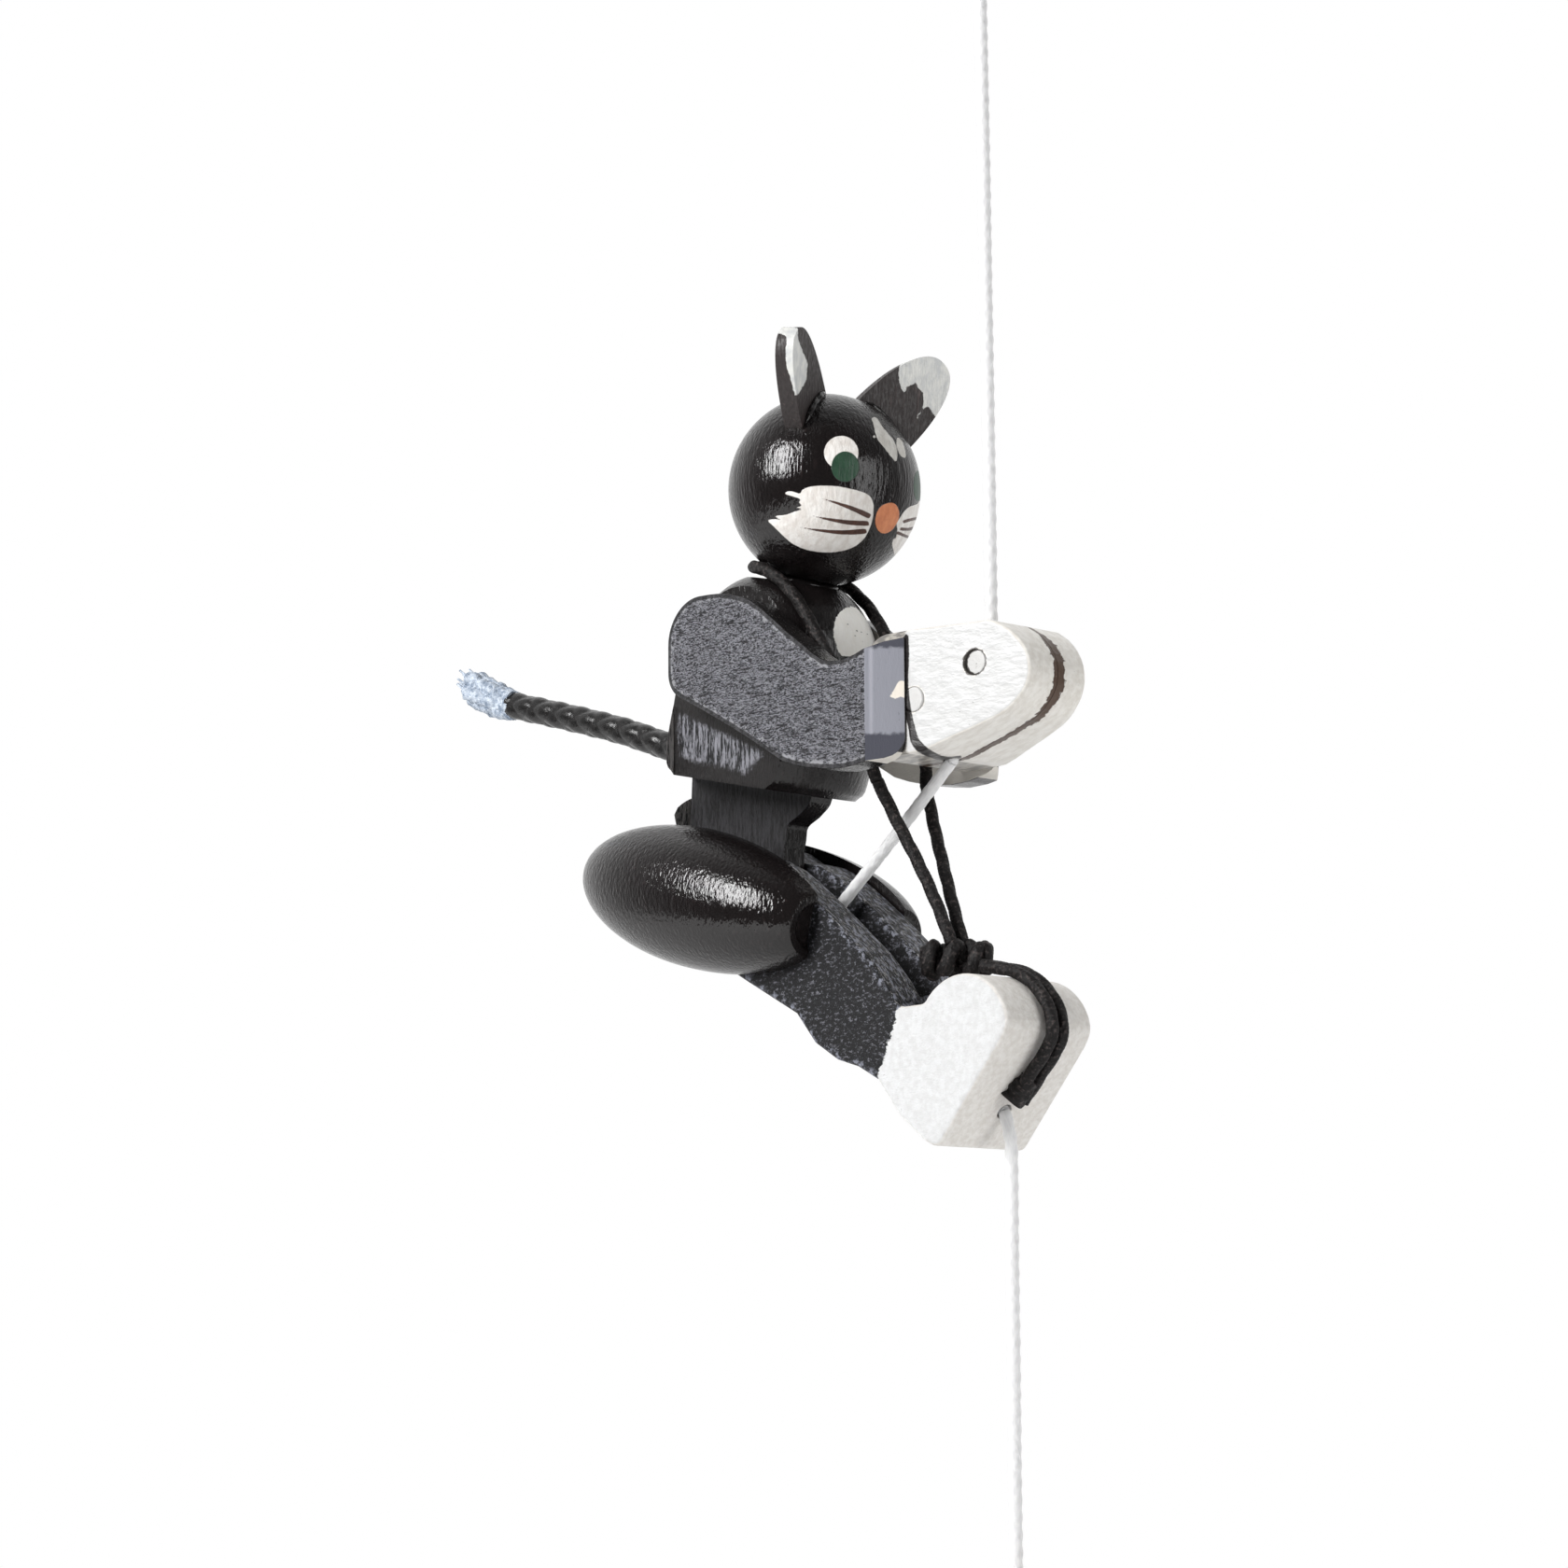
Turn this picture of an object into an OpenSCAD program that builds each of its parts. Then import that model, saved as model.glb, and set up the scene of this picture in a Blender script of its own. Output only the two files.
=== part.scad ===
// Climbing cat: a wooden cat on a hanging string. The hands and the feet are both threaded on the
// string, an elastic pulls the legs shut, and each pull on the string opens the hip and lets the cat climb.
// Millimetres. +Z up, the cat faces +X, its right side is -Y. The origin is where a hook bears in the loop.

/* [String] */
// Diameter of the braided string
string_d = 2; // [1.6:0.1:2.4]
// Free width left round the string in every hole
string_clear = 0.6; // [0.4:0.1:1]
// Drop from the hook to the underside of the hands
cat_drop = 134; // [128:1:160]
// Width inside the hanging loop
loop_w = 9; // [7:0.5:10]
// Height inside the hanging loop
loop_h = 12; // [10:0.5:13]
// Diameter of the knots in the string
knot_d = 4.4; // [4:0.1:5]
// Drop from the underside of the hands to the top of the pull bead
bead_drop = 121; // [118:1:150]
// Diameter of the pull bead
bead_d = 12; // [9:0.5:16]

/* [Head] */
// Diameter of the turned head
head_d = 30; // [28:0.5:31]
// Lean of the neck dowel, from upright towards the front, in degrees
neck_lean = 25.6; // [24:0.2:27]
// Diameter of the neck dowel
neck_d = 6; // [4:0.5:8]
// How deep the neck dowel goes into the head and into the torso
neck_depth = 9; // [6:0.5:12]
// Half of an ear's width
ear_half_w = 5.6; // [5:0.1:6.6]
// Height of an ear, from its glued foot to its tip
ear_h = 14.9; // [12:0.1:17]
// Thickness of an ear
ear_t = 2.9; // [2.4:0.1:4]

/* [Torso] */
// Largest diameter of the turned torso
torso_d = 32.4; // [31.4:0.2:33.4]
// Height of the domed shoulders above the largest diameter, if they were not cut off at the neck
dome_h = 25; // [24.4:0.2:27]
// How square the domed shoulders are: 2 is an ellipse
dome_power = 2.6; // [2:0.1:3]
// Height of the largest diameter above the bottom of the rim
belly_h = 7.5; // [6:0.5:9]
// Height of the torso along its axis, from the rim to the seat of the neck
torso_h = 31.1; // [29:0.1:32]
// Forward lean of the torso's axis in degrees
torso_lean = 12.5; // [11:0.5:13]
// Distance between the two flats that carry the arms
flats_w = 20; // [18:0.5:21]
// Thickness of the tongue below the torso
tongue_t = 4.5; // [3.5:0.1:5]
// Radius of the tongue round the hip pin
tongue_r = 8.6; // [7:0.1:9]
// Diameter of the tail cord
tail_d = 4.7; // [4:0.1:5.2]

/* [Arms and hands] */
// Thickness of an arm
arm_t = 4.6; // [3.6:0.1:5]
// Radius of an arm's round shoulder
shoulder_r = 7; // [6.4:0.1:7.4]
// Half of the width across both hands at their tips
hand_tip_half = 6; // [5.6:0.1:7]
// Height of the hands
hand_h = 18.7; // [17.4:0.1:20]
// Length of the hands in front of the string
hand_front = 14.7; // [13.2:0.5:16.2]
// Length of the hands behind the string
hand_back = 15.6; // [13.6:0.5:16.6]
// Diameter of the dowels across the hands
hand_dowel_d = 4.4; // [4:0.1:5]

/* [Legs] */
// Thickness of the leg board
leg_t = 19; // [17:0.5:21]
// Free width between the tongue and each side of the slot
slot_clear = 0.35; // [0.2:0.05:0.6]
// Diameter of the hip pin
hip_pin_d = 4; // [3:0.5:5]
// Radial clearance of the tongue on the hip pin
hip_clear = 0.06; // [0.02:0.01:0.1]
// Radius of the leg board round the hip
hip_r = 9.4; // [8.8:0.1:10]
// Diameter of the pin that leads the string in the slot
guide_pin_d = 3; // [2.4:0.1:3.6]
// Length of a thigh
thigh_len = 50.4; // [47:0.5:54]
// Largest radius of a thigh, and so its depth
thigh_r = 10.9; // [9.5:0.1:11.5]
// Radius of the flat at the front of a thigh
thigh_end_r = 4.8; // [4:0.1:5.5]
// How much lower the left thigh was glued than the right one
thigh_drop = 0.6; // [0:0.1:1]

/* [Elastic] */
// Diameter of the elastic cord
elastic_d = 2; // [1.6:0.1:2.2]

/* [Hidden] */
$fn = 64;
glue = 0.02;
cord_gap = 0.04;
big = 200;
string_r = string_d / 2;
string_hole = string_d + string_clear;

// Places in the cat's own frame: x in front of the string, z above the underside of the hands
torso_x = -48.5;
torso_z = 1.5;
axis_x = torso_x + 0.5;
hip = [torso_x - 1.1, -18];
shoulder = [torso_x + 1.1, 21.9];
front_dowel = [4.1, 12.6];
rear_dowel = [-6.5, 8.1];
hand_bottom = [-8, 0];
guide_pin = [hip[0] + 17.3, hip[1] - 5.8];
foot_ball = [1.8, -42.5];
foot_ball_r = 9.2;
slot_end = -11.6;
slot_w = tongue_t + 2 * slot_clear;
foot_mouth = [1.6, -53];
foot_bore = [[slot_end - 0.5, 0, -42.4], [foot_mouth[0], 0, foot_mouth[1]]];
shin_top = [
    [-43.7, -11.3], [-39.2, -12.4], [-32.4, -16.5], [-22.6, -24.4], [-17.8, -28.5], [-14, -32.7], [-10.8, -37.3],
    [-6.6, -37.2]
];
sole = [
    [-2.8, -58.2], [-5.8, -57.3], [-10.8, -53.4], [-15.2, -47.8], [-23.6, -44.3], [-28.2, -41.5], [-32.1, -36.8],
    [-42.8, -31.1]
];
neck_seat = [axis_x + (torso_h + torso_z) * sin(torso_lean), (torso_h + torso_z) * cos(torso_lean)];
head_seat_gap = 0.5;
head_r = head_d / 2;
head_c = neck_seat + (head_r + head_seat_gap) * [sin(neck_lean), cos(neck_lean)];
arm_in = flats_w / 2;
arm_out = arm_in + arm_t;
dowel_gap = (hand_dowel_d + string_d) / 2 + 0.1;
pin_gap = (guide_pin_d + string_d) / 2 + 0.3;

// Routes, as hand-chosen points of the middle of each cord in the cat's frame, and the way that the cord
// runs where one piece of it goes over into the next
route_in_hand = [
    [0.4, 0, hand_h + 0.1], [-0.1, 0, 15.5], [-1.6, 0, 12], [-2.9, 0, 9.2],
    [rear_dowel[0] + dowel_gap - 0.1, 0, rear_dowel[1] - 0.9], [-5, 0, 4.2], [hand_bottom[0], 0, hand_bottom[1]]
];
hand_exit = route_in_hand[len(route_in_hand) - 1];
route_mid = [
    hand_exit, [-15, 0, -6], [-22.4, 0, -12.2], [-30, 0, -18.4], round_pin(130)
];
route_in_foot = [
    round_pin(130), round_pin(165), round_pin(195), round_pin(232), [-28, 0, -30.5], [-22, 0, -35],
    foot_bore[0], [-5, 0, -47.7], foot_bore[1]
];
route_lower = [
    foot_bore[1], [2.5, 0, -56], [2.9, 0, -60], [2.8, 0, -75], [2.8, 0, -90],
    [2.7, 0, -105], [2.7, 0, -bead_drop], [2.7, 0, -bead_drop - bead_d]
];
route_tail = [
    [-57, 0, 5], [-63, 0, 7], [-71, 0, 9.9], [-80, 0, 13.1], [-89, 0, 15.8], [-98, 0, 18.3],
    [-107, 0, 20.7], [-114, 0, 22.9], [-119.5, 0, 25.2]
];
route_neck_side = [
    [-45.7, -3.8, 34.7], [-42.6, -7.1, 33.85], [-38.8, -8.5, 32.6], [-35.3, -8.45, 30.25], [-32, -8.45, 26.9],
    [-28.6, -8.3, 22], [-24.6, -8.1, 15.6], [-21.4, -7.5, 8.6], [-19.4, -6.4, 1.6], [-18.3, -5.4, -2.4]
];
neck_back = [-47.2, 0, 35];
route_strand = [
    [-18.3, -5.4, -2.4], [-15.6, -4.1, -8.6], [-12.6, -2.8, -15], [-9.8, -1.8, -21.4], [-7.3, -1.3, -27.6]
];
route_foot_loop = [
    [-1.2, 1.2, -31.4], [2.4, 1.2, -32.1], [6.1, 1.1, -33.2], [9.4, 1.1, -35.6], [11.5, 1.1, -38.5],
    [12.5, 1.1, -41.4], [11.6, 1.1, -44.4], [9.2, 1.1, -47.4], [6.4, 1.1, -50.4], [4.2, 1.1, -52.7]
];

way_at_hand = [-0.64, 0, -0.77];
way_at_pin = [-0.766, 0, -0.643];
way_at_mouth = [0.54, 0, -0.84];
way_at_strand = [0.38, 0.2, -0.9];

// Functions for a cord: a smooth line through the route, then a ring of corners round each point
function unit(v) = v / norm(v);
function round_pin(a) = [guide_pin[0] + pin_gap * cos(a), 0, guide_pin[1] + pin_gap * sin(a)];
function at(list, i) = list[max(0, min(len(list) - 1, i))];
function curve(a, b, c, d, t) = 0.5 * (2 * b + (c - a) * t + (2 * a - 5 * b + 4 * c - d) * t * t
    + (3 * b - a - 3 * c + d) * t * t * t);
function smooth(route, steps) = [
    for (i = [0 : len(route) - 2]) for (k = [0 : steps - 1])
        curve(at(route, i - 1), route[i], route[i + 1], at(route, i + 2), k / steps),
    route[len(route) - 1]
];
function ring(p, way, side, r, sides) =
    let (u = unit(cross(side, way)), v = cross(way, u))
    [for (k = [0 : sides - 1]) p + r * (cos(360 * k / sides) * u + sin(360 * k / sides) * v)];
function arc(c, r, from, to, steps) = [
    for (k = [0 : steps]) let (a = from + (to - from) * k / steps) c + r * [cos(a), sin(a)]
];
function mirror_y(p) = [p[0], -p[1], p[2]];
function mirrored(route) = [for (p = route) mirror_y(p)];
function reversed(route) = [for (i = [len(route) - 1 : -1 : 0]) route[i]];

module cord(route, d, side = [0, 1, 0], steps = 2, sides = 8, start_way = 0, end_way = 0) {
    line = smooth(route, steps);
    last = len(line) - 1;
    ways = [
        for (i = [0 : last])
            i == 0 && start_way != 0 ? unit(start_way) : i == last && end_way != 0 ? unit(end_way)
            : unit(at(line, i + 1) - at(line, i - 1))
    ];
    corners = [
        for (i = [0 : last])
            each ring(line[i] + (i == 0 ? 1 : i == last ? -1 : 0) * cord_gap / 2 * ways[i], ways[i], side, d / 2, sides)
    ];
    walls = [
        for (i = [0 : last - 1]) for (k = [0 : sides - 1])
            let (n = (k + 1) % sides, a = i * sides, b = (i + 1) * sides)
            each [[a + k, a + n, b + n], [a + k, b + n, b + k]]
    ];
    caps = [[for (k = [sides - 1 : -1 : 0]) k], [for (k = [0 : sides - 1]) last * sides + k]];
    polyhedron(corners, concat(walls, caps));
}

module closed_cord(line, d, side, sides = 8) {
    count = len(line);
    corners = [
        for (i = [0 : count - 1])
            each ring(line[i], unit(line[(i + 1) % count] - line[(i + count - 1) % count]), side, d / 2, sides)
    ];
    walls = [
        for (i = [0 : count - 1]) for (k = [0 : sides - 1])
            let (n = (k + 1) % sides, a = i * sides, b = ((i + 1) % count) * sides)
            each [[a + k, a + n, b + n], [a + k, b + n, b + k]]
    ];
    polyhedron(corners, walls);
}

module at_cat() {
    translate([0, 0, -cat_drop]) children();
}

// Draws a flat outline in x and z and gives it a thickness from y_low to y_high
module board(y_low, y_high) {
    translate([0, y_high, 0]) rotate([90, 0, 0]) linear_extrude(y_high - y_low) children();
}

// A straight bore from one point to the next
module bore(a, b, d) {
    way = b - a;
    translate(a) rotate([0, acos(way[2] / norm(way)), atan2(way[1], way[0])]) cylinder(d = d, h = norm(way));
}

// The outline, in x and z, of a groove that follows a route in the plane y = 0
function flat(p) = [p[0], p[2]];
function beside(route, i, w) =
    let (way = unit(flat(at(route, i + 1)) - flat(at(route, i - 1)))) flat(route[i]) + w * [way[1], -way[0]];
function groove(route, width) = concat(
    [for (i = [0 : len(route) - 1]) beside(route, i, width / 2)],
    [for (i = [len(route) - 1 : -1 : 0]) beside(route, i, -width / 2)]
);

module cross_pin(place, d, length) {
    translate([place[0], length / 2, place[1]]) rotate([90, 0, 0]) cylinder(d = d, h = length);
}

// String and its ends
loop_top = string_r;
loop_low = -loop_h - string_r;
knot_z = loop_low - knot_d / 2 + 0.6;

module hang_loop() {
    turns = 28;
    half_w = loop_w / 2 + string_r;
    line = [
        for (k = [0 : turns - 1])
            let (a = 360 * k / turns)
            [0, half_w * sin(a) * (1 + 0.25 * cos(a)), (loop_top + loop_low) / 2 + (loop_top - loop_low) / 2 * cos(a)]
    ];
    color("ivory") difference() {
        closed_cord(line, string_d, [1, 0, 0]);
        translate([0, 0, knot_z]) sphere(d = knot_d + glue, $fn = 32);
    }
}

module loop_knot() {
    color("ivory") translate([0, 0, knot_z]) sphere(d = knot_d, $fn = 32);
}

module string_upper() {
    bottom = -cat_drop + hand_h + 0.1;
    top = knot_z - knot_d / 2 + 0.1;
    color("ivory") difference() {
        cord([[0, 0, top], [0.2, 0, top * 0.75 + bottom * 0.25], [0.3, 0, (top + bottom) / 2],
            [0.4, 0, top * 0.25 + bottom * 0.75], [0.4, 0, bottom]], string_d, steps = 5, end_way = [0, 0, -1]);
        translate([0, 0, knot_z]) sphere(d = knot_d + glue, $fn = 32);
    }
}

module string_in_hand() {
    color("ivory") at_cat() cord(route_in_hand, string_d, start_way = [0, 0, -1], end_way = way_at_hand);
}

module string_mid() {
    color("ivory") at_cat() cord(route_mid, string_d, start_way = way_at_hand, end_way = way_at_pin);
}

module string_in_foot() {
    color("ivory") at_cat() cord(route_in_foot, string_d, start_way = way_at_pin, end_way = way_at_mouth);
}

module string_lower() {
    color("ivory") at_cat() cord(route_lower, string_d, steps = 3, start_way = way_at_mouth);
}

bead_c = [2.7, 0, -bead_drop - bead_d / 2];

module pull_bead() {
    color("burlywood") at_cat() translate(bead_c) difference() {
        sphere(d = bead_d);
        cylinder(d = string_hole, h = big, center = true);
    }
}

module bead_knot() {
    color("ivory") at_cat() translate(bead_c - [0, 0, bead_d / 2 + knot_d / 2]) sphere(d = knot_d, $fn = 32);
}

// Head, neck dowel and ears
module neck_bore(extra) {
    translate([neck_seat[0], 0, neck_seat[1]]) rotate([0, neck_lean, 0])
        translate([0, 0, -neck_depth - extra]) cylinder(d = neck_d, h = 2 * (neck_depth + extra) + head_seat_gap);
}

module head() {
    color([0.09, 0.09, 0.09]) at_cat() difference() {
        translate([head_c[0], 0, head_c[1]]) sphere(r = head_r, $fn = 96);
        neck_bore(0.5);
    }
}

module neck_dowel() {
    color("burlywood") at_cat() neck_bore(0);
}

// The ear stands on the head with its foot hollowed to the ball, turned out and a little inwards
module ear() {
    foot = head_r - 2;
    difference() {
        translate([head_c[0], 0, head_c[1]]) rotate([43.4, 8.6, 21]) translate([-0.7, 0.8, 0])
            rotate([90, 0, 90]) translate([0, 0, -ear_t / 2]) linear_extrude(ear_t)
                union() {
                    translate([0, foot + 0.8]) polygon([
                        for (a = [0 : 10 : 180]) [ear_half_w * cos(a), ear_h * sin(a)]
                    ]);
                    translate([-ear_half_w, foot - 1.5]) square([2 * ear_half_w, 2.3]);
                }
        translate([head_c[0], 0, head_c[1]]) sphere(r = head_r + glue, $fn = 96);
    }
}

module ear_right() {
    color([0.2, 0.18, 0.18]) at_cat() ear();
}

module ear_left() {
    color([0.2, 0.18, 0.18]) at_cat() mirror([0, 1, 0]) ear();
}

// Torso: a turned bell with a waist groove, milled to a tongue for the hip and to flats for the arms
belly_z = torso_z + belly_h;
torso_r = torso_d / 2;
top_z = torso_z + torso_h;
groove_r = torso_r - 2.2;
skirt_r = torso_r - 1;
skirt_low = -9;
pocket_stop = 14.4;
mill_stop = torso_x - 9.5;

function dome_r(z) = torso_r * pow(1 - pow(max(0, z - belly_z) / dome_h, dome_power), 1 / dome_power);

module turned_body() {
    translate([axis_x, 0, 0]) rotate([0, torso_lean, 0]) rotate_extrude($fn = 96) polygon(concat(
        [[0, skirt_low], [skirt_r - 1, skirt_low], [skirt_r - 0.2, skirt_low + 1.5], [skirt_r, skirt_low + 3],
            [skirt_r - 0.6, -3.4], [groove_r + 0.1, -2], [groove_r, -0.9], [groove_r + 0.3, 0.2],
            [torso_r - 1, torso_z - 0.3], [torso_r - 0.5, torso_z + 0.4], [torso_r - 0.2, torso_z + 1.6]],
        [for (k = [0 : 12]) let (z = belly_z - 2 + (top_z - belly_z + 2) * sin(90 * k / 12)) [dome_r(z), z]],
        [[0, top_z]]
    ));
}

module tongue_outline() {
    polygon(concat(
        arc(hip, tongue_r, 20, -200, 22),
        [[torso_x - 13.2, -8.5], [torso_x - 13.8, -3], [torso_x - 13.4, 4], [torso_x + 12.4, 4], [torso_x + 13.2, -2.6],
            [torso_x + 12.2, -4], [torso_x + 10.4, -5.2], [torso_x + 8.6, -6], [torso_x + 7.8, -6.9],
            [torso_x + 7.5, -8.4], [torso_x + 7, -10.4]]
    ));
}

module torso() {
    color([0.1, 0.1, 0.1]) at_cat() difference() {
        union() {
            difference() {
                turned_body();
                for (side = [0, 1]) mirror([0, side, 0])
                    translate([axis_x, 0, 0]) rotate([0, torso_lean, 0])
                        translate([-pocket_stop, -0.01, torso_z - 1.2 - big]) cube(big);
            }
            board(-tongue_t / 2, tongue_t / 2) tongue_outline();
        }
        for (side = [-1, 1])
            translate([mill_stop, side * (arm_in + big / 2) - big / 2, -big / 2]) cube(big);
        neck_bore(0.5);
        cross_pin(hip, hip_pin_d + 2 * hip_clear, big);
        bore(route_tail[0], route_tail[1] + 2 * (route_tail[1] - route_tail[0]), tail_d + 2 * glue);
    }
}

module tail() {
    color([0.15, 0.15, 0.15]) at_cat() cord(route_tail, tail_d, steps = 2);
}

// Arms: two flat boards glued to the torso's flats, with an outward bevel at the hand
arm_end = -7.4;
heel_r = 4.5;

module arm_outline() {
    polygon(concat(
        arc(shoulder + [heel_r - shoulder_r, -4.3], heel_r, 240, 180, 6),
        arc(shoulder, shoulder_r, 180, 90, 10),
        [shoulder + [4.4, 6.8], shoulder + [7.8, 6], shoulder + [11, 4.9], shoulder + [13.2, 3.5],
            shoulder + [15.9, 1.4], [-28.3, 20.7], [-25.1, 18.4], [-21.6, 15.9], [-19.3, 15], [-15.6, 15],
            [-12, 16], [-9.9, 17], [arm_end, 17.7], [arm_end, 2.6], [-7.9, 1], [-9, -0.2], [-11.5, -0.9],
            [-14, -1.35], [-17.6, -1.5], [-21, -1.1], [-24, -0.6], [-26.4, 0], [-29.4, 1], [-32.9, 3.1],
            [-37.2, 5.7], shoulder + [4.6, -13.1], shoulder + [0.7, -11]]
    ));
}

module arm() {
    difference() {
        board(-arm_out, -arm_in - glue) arm_outline();
        translate([arm_end, -arm_in, -big / 2]) rotate([0, 0, 45]) translate([-big, -big, 0])
            cube([2 * big, big, big]);
    }
}

module arm_right() {
    color([0.2, 0.2, 0.22]) at_cat() arm();
}

module arm_left() {
    color([0.2, 0.2, 0.22]) at_cat() mirror([0, 1, 0]) arm();
}

// Hands: one block in two halves, glued between the arms round the string
hand_taper_x = -7;

// Half of the width across both hands where they taper; the dowel ends are flush with it
function hand_half(x) = arm_in - (x - hand_taper_x) * (arm_in - hand_tip_half) / (hand_front - hand_taper_x);

module hand_outline() {
    polygon([
        [-hand_back, 1.3], [-hand_back + 1.5, 0], [-5.6, 0.2], [-0.8, 1.5], [4, 2.9], [8.7, 4.3],
        [hand_front - 2.9, 5.8], [hand_front - 1.2, 7.4], [hand_front - 0.2, 9.2], [hand_front, 11.2],
        [hand_front - 0.7, 13.7], [hand_front - 2.5, hand_h - 2.7], [hand_front - 5.2, hand_h - 0.9],
        [hand_front - 7.7, hand_h], [-hand_back + 3.5, hand_h], [-hand_back + 1.3, hand_h - 0.7],
        [-hand_back, hand_h - 1.9]
    ]);
}

module hand() {
    difference() {
        intersection() {
            board(-arm_in - 1, -0.05) hand_outline();
            linear_extrude(big, center = true) polygon([
                [-hand_back - 1, 1], [-hand_back - 1, -arm_in + glue], [hand_taper_x, -arm_in + glue],
                [hand_front + 1, -hand_half(hand_front + 1)], [hand_front + 1, 1]
            ]);
        }
        board(-string_hole / 2, 1) polygon(groove(
            concat([route_in_hand[0] + [0, 0, 2]], route_in_hand, [hand_exit + [-1, 0, -2]]), string_hole));
        cross_pin(front_dowel, hand_dowel_d, big);
        cross_pin(rear_dowel, hand_dowel_d, big);
    }
}

module hand_right() {
    color("whitesmoke") at_cat() hand();
}

module hand_left() {
    color("whitesmoke") at_cat() mirror([0, 1, 0]) hand();
}

module hand_dowel_front() {
    color("whitesmoke") at_cat() cross_pin(front_dowel, hand_dowel_d, 2 * hand_half(front_dowel[0]));
}

module hand_dowel_rear() {
    color("whitesmoke") at_cat() cross_pin(rear_dowel, hand_dowel_d, 2 * arm_in - 2 * glue);
}

// Legs: one board slotted for the tongue, with the feet rounded and threaded on the string
module leg_outline() {
    polygon(concat(
        arc(hip, hip_r, 270, 88, 24),
        shin_top, arc(foot_ball, foot_ball_r, 144, 4, 14), sole
    ));
}

module leg_block() {
    color([0.13, 0.13, 0.13]) at_cat() difference() {
        board(-leg_t / 2, leg_t / 2) leg_outline();
        translate([-big + slot_end, -slot_w / 2, -big / 2]) cube([big, slot_w, big]);
        cross_pin(hip, hip_pin_d, big);
        cross_pin(guide_pin, guide_pin_d, big);
        bore(foot_bore[0], 1.1 * foot_bore[1] - 0.1 * foot_bore[0], string_hole);
    }
}

module hip_pin() {
    color("burlywood") at_cat() cross_pin(hip, hip_pin_d, leg_t);
}

module string_guide_pin() {
    color("silver") at_cat() cross_pin(guide_pin, guide_pin_d, leg_t);
}

// Thighs: a turned egg sawn in half, glued with its flat against the side of the leg board
thigh_tilt = 14.9;
thigh_tail = [hip[0] - 27.2, hip[1] + 7.05];

module thigh() {
    wide_at = thigh_len / 2;
    front_len = (thigh_len - wide_at) / sqrt(1 - pow(thigh_end_r / thigh_r, 2));
    intersection() {
        translate([thigh_tail[0], -leg_t / 2 - glue, thigh_tail[1]]) rotate([0, 90 + thigh_tilt, 0])
            rotate_extrude($fn = 96) polygon(concat(
                [[0, 0]],
                [for (k = [1 : 9]) [thigh_r * sin(10 * k), wide_at * (1 - cos(10 * k))]],
                [for (k = [1 : 8]) let (z = (thigh_len - wide_at) * k / 8)
                    [thigh_r * sqrt(1 - pow(z / front_len, 2)), wide_at + z]],
                [[thigh_end_r - 1.2, thigh_len], [thigh_end_r - 1.8, thigh_len - 0.6], [0, thigh_len - 0.6]]
            ));
        translate([-big, -leg_t / 2 - glue - big, -big / 2]) cube(big);
    }
}

module thigh_right() {
    color([0.08, 0.08, 0.08]) at_cat() thigh();
}

module thigh_left() {
    color([0.08, 0.08, 0.08]) at_cat() translate([0, 0, -thigh_drop]) mirror([0, 1, 0]) thigh();
}

// Elastic: round the back of the neck, down between the arms, knotted over the feet and under the toes
module elastic_neck_loop() {
    color([0.12, 0.11, 0.11]) at_cat() cord(
        concat(reversed(route_neck_side), [neck_back], mirrored(route_neck_side)),
        elastic_d, side = [0.7, 0, 0.7], start_way = -way_at_strand, end_way = mirror_y(way_at_strand));
}

module elastic_strand_right() {
    color([0.12, 0.11, 0.11]) at_cat() cord(route_strand, elastic_d, steps = 2, start_way = way_at_strand);
}

module elastic_strand_left() {
    color([0.12, 0.11, 0.11]) at_cat() cord(mirrored(route_strand), elastic_d, steps = 2, start_way = mirror_y(way_at_strand));
}

module elastic_knot() {
    color([0.12, 0.11, 0.11]) at_cat() translate([-5.2, 0, -30]) rotate([0, 98, 0]) rotate_extrude($fn = 32)
        polygon([[0, -4.2], [1.7, -3.6], [2.6, -1.6], [2.6, 1.2], [2, 3.2], [0, 3.9]]);
}

module elastic_foot_loop() {
    color([0.12, 0.11, 0.11]) at_cat() {
        cord(route_foot_loop, elastic_d, steps = 2);
        cord(mirrored(route_foot_loop), elastic_d, steps = 2);
    }
}

hang_loop();
loop_knot();
string_upper();
string_in_hand();
string_mid();
string_in_foot();
string_lower();
pull_bead();
bead_knot();
head();
neck_dowel();
ear_right();
ear_left();
torso();
tail();
arm_right();
arm_left();
hand_right();
hand_left();
hand_dowel_front();
hand_dowel_rear();
hip_pin();
leg_block();
thigh_right();
thigh_left();
string_guide_pin();
elastic_neck_loop();
elastic_strand_right();
elastic_strand_left();
elastic_knot();
elastic_foot_loop();
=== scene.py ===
import bmesh
import bpy
import math
import random
from mathutils import Matrix, Vector, noise


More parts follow.
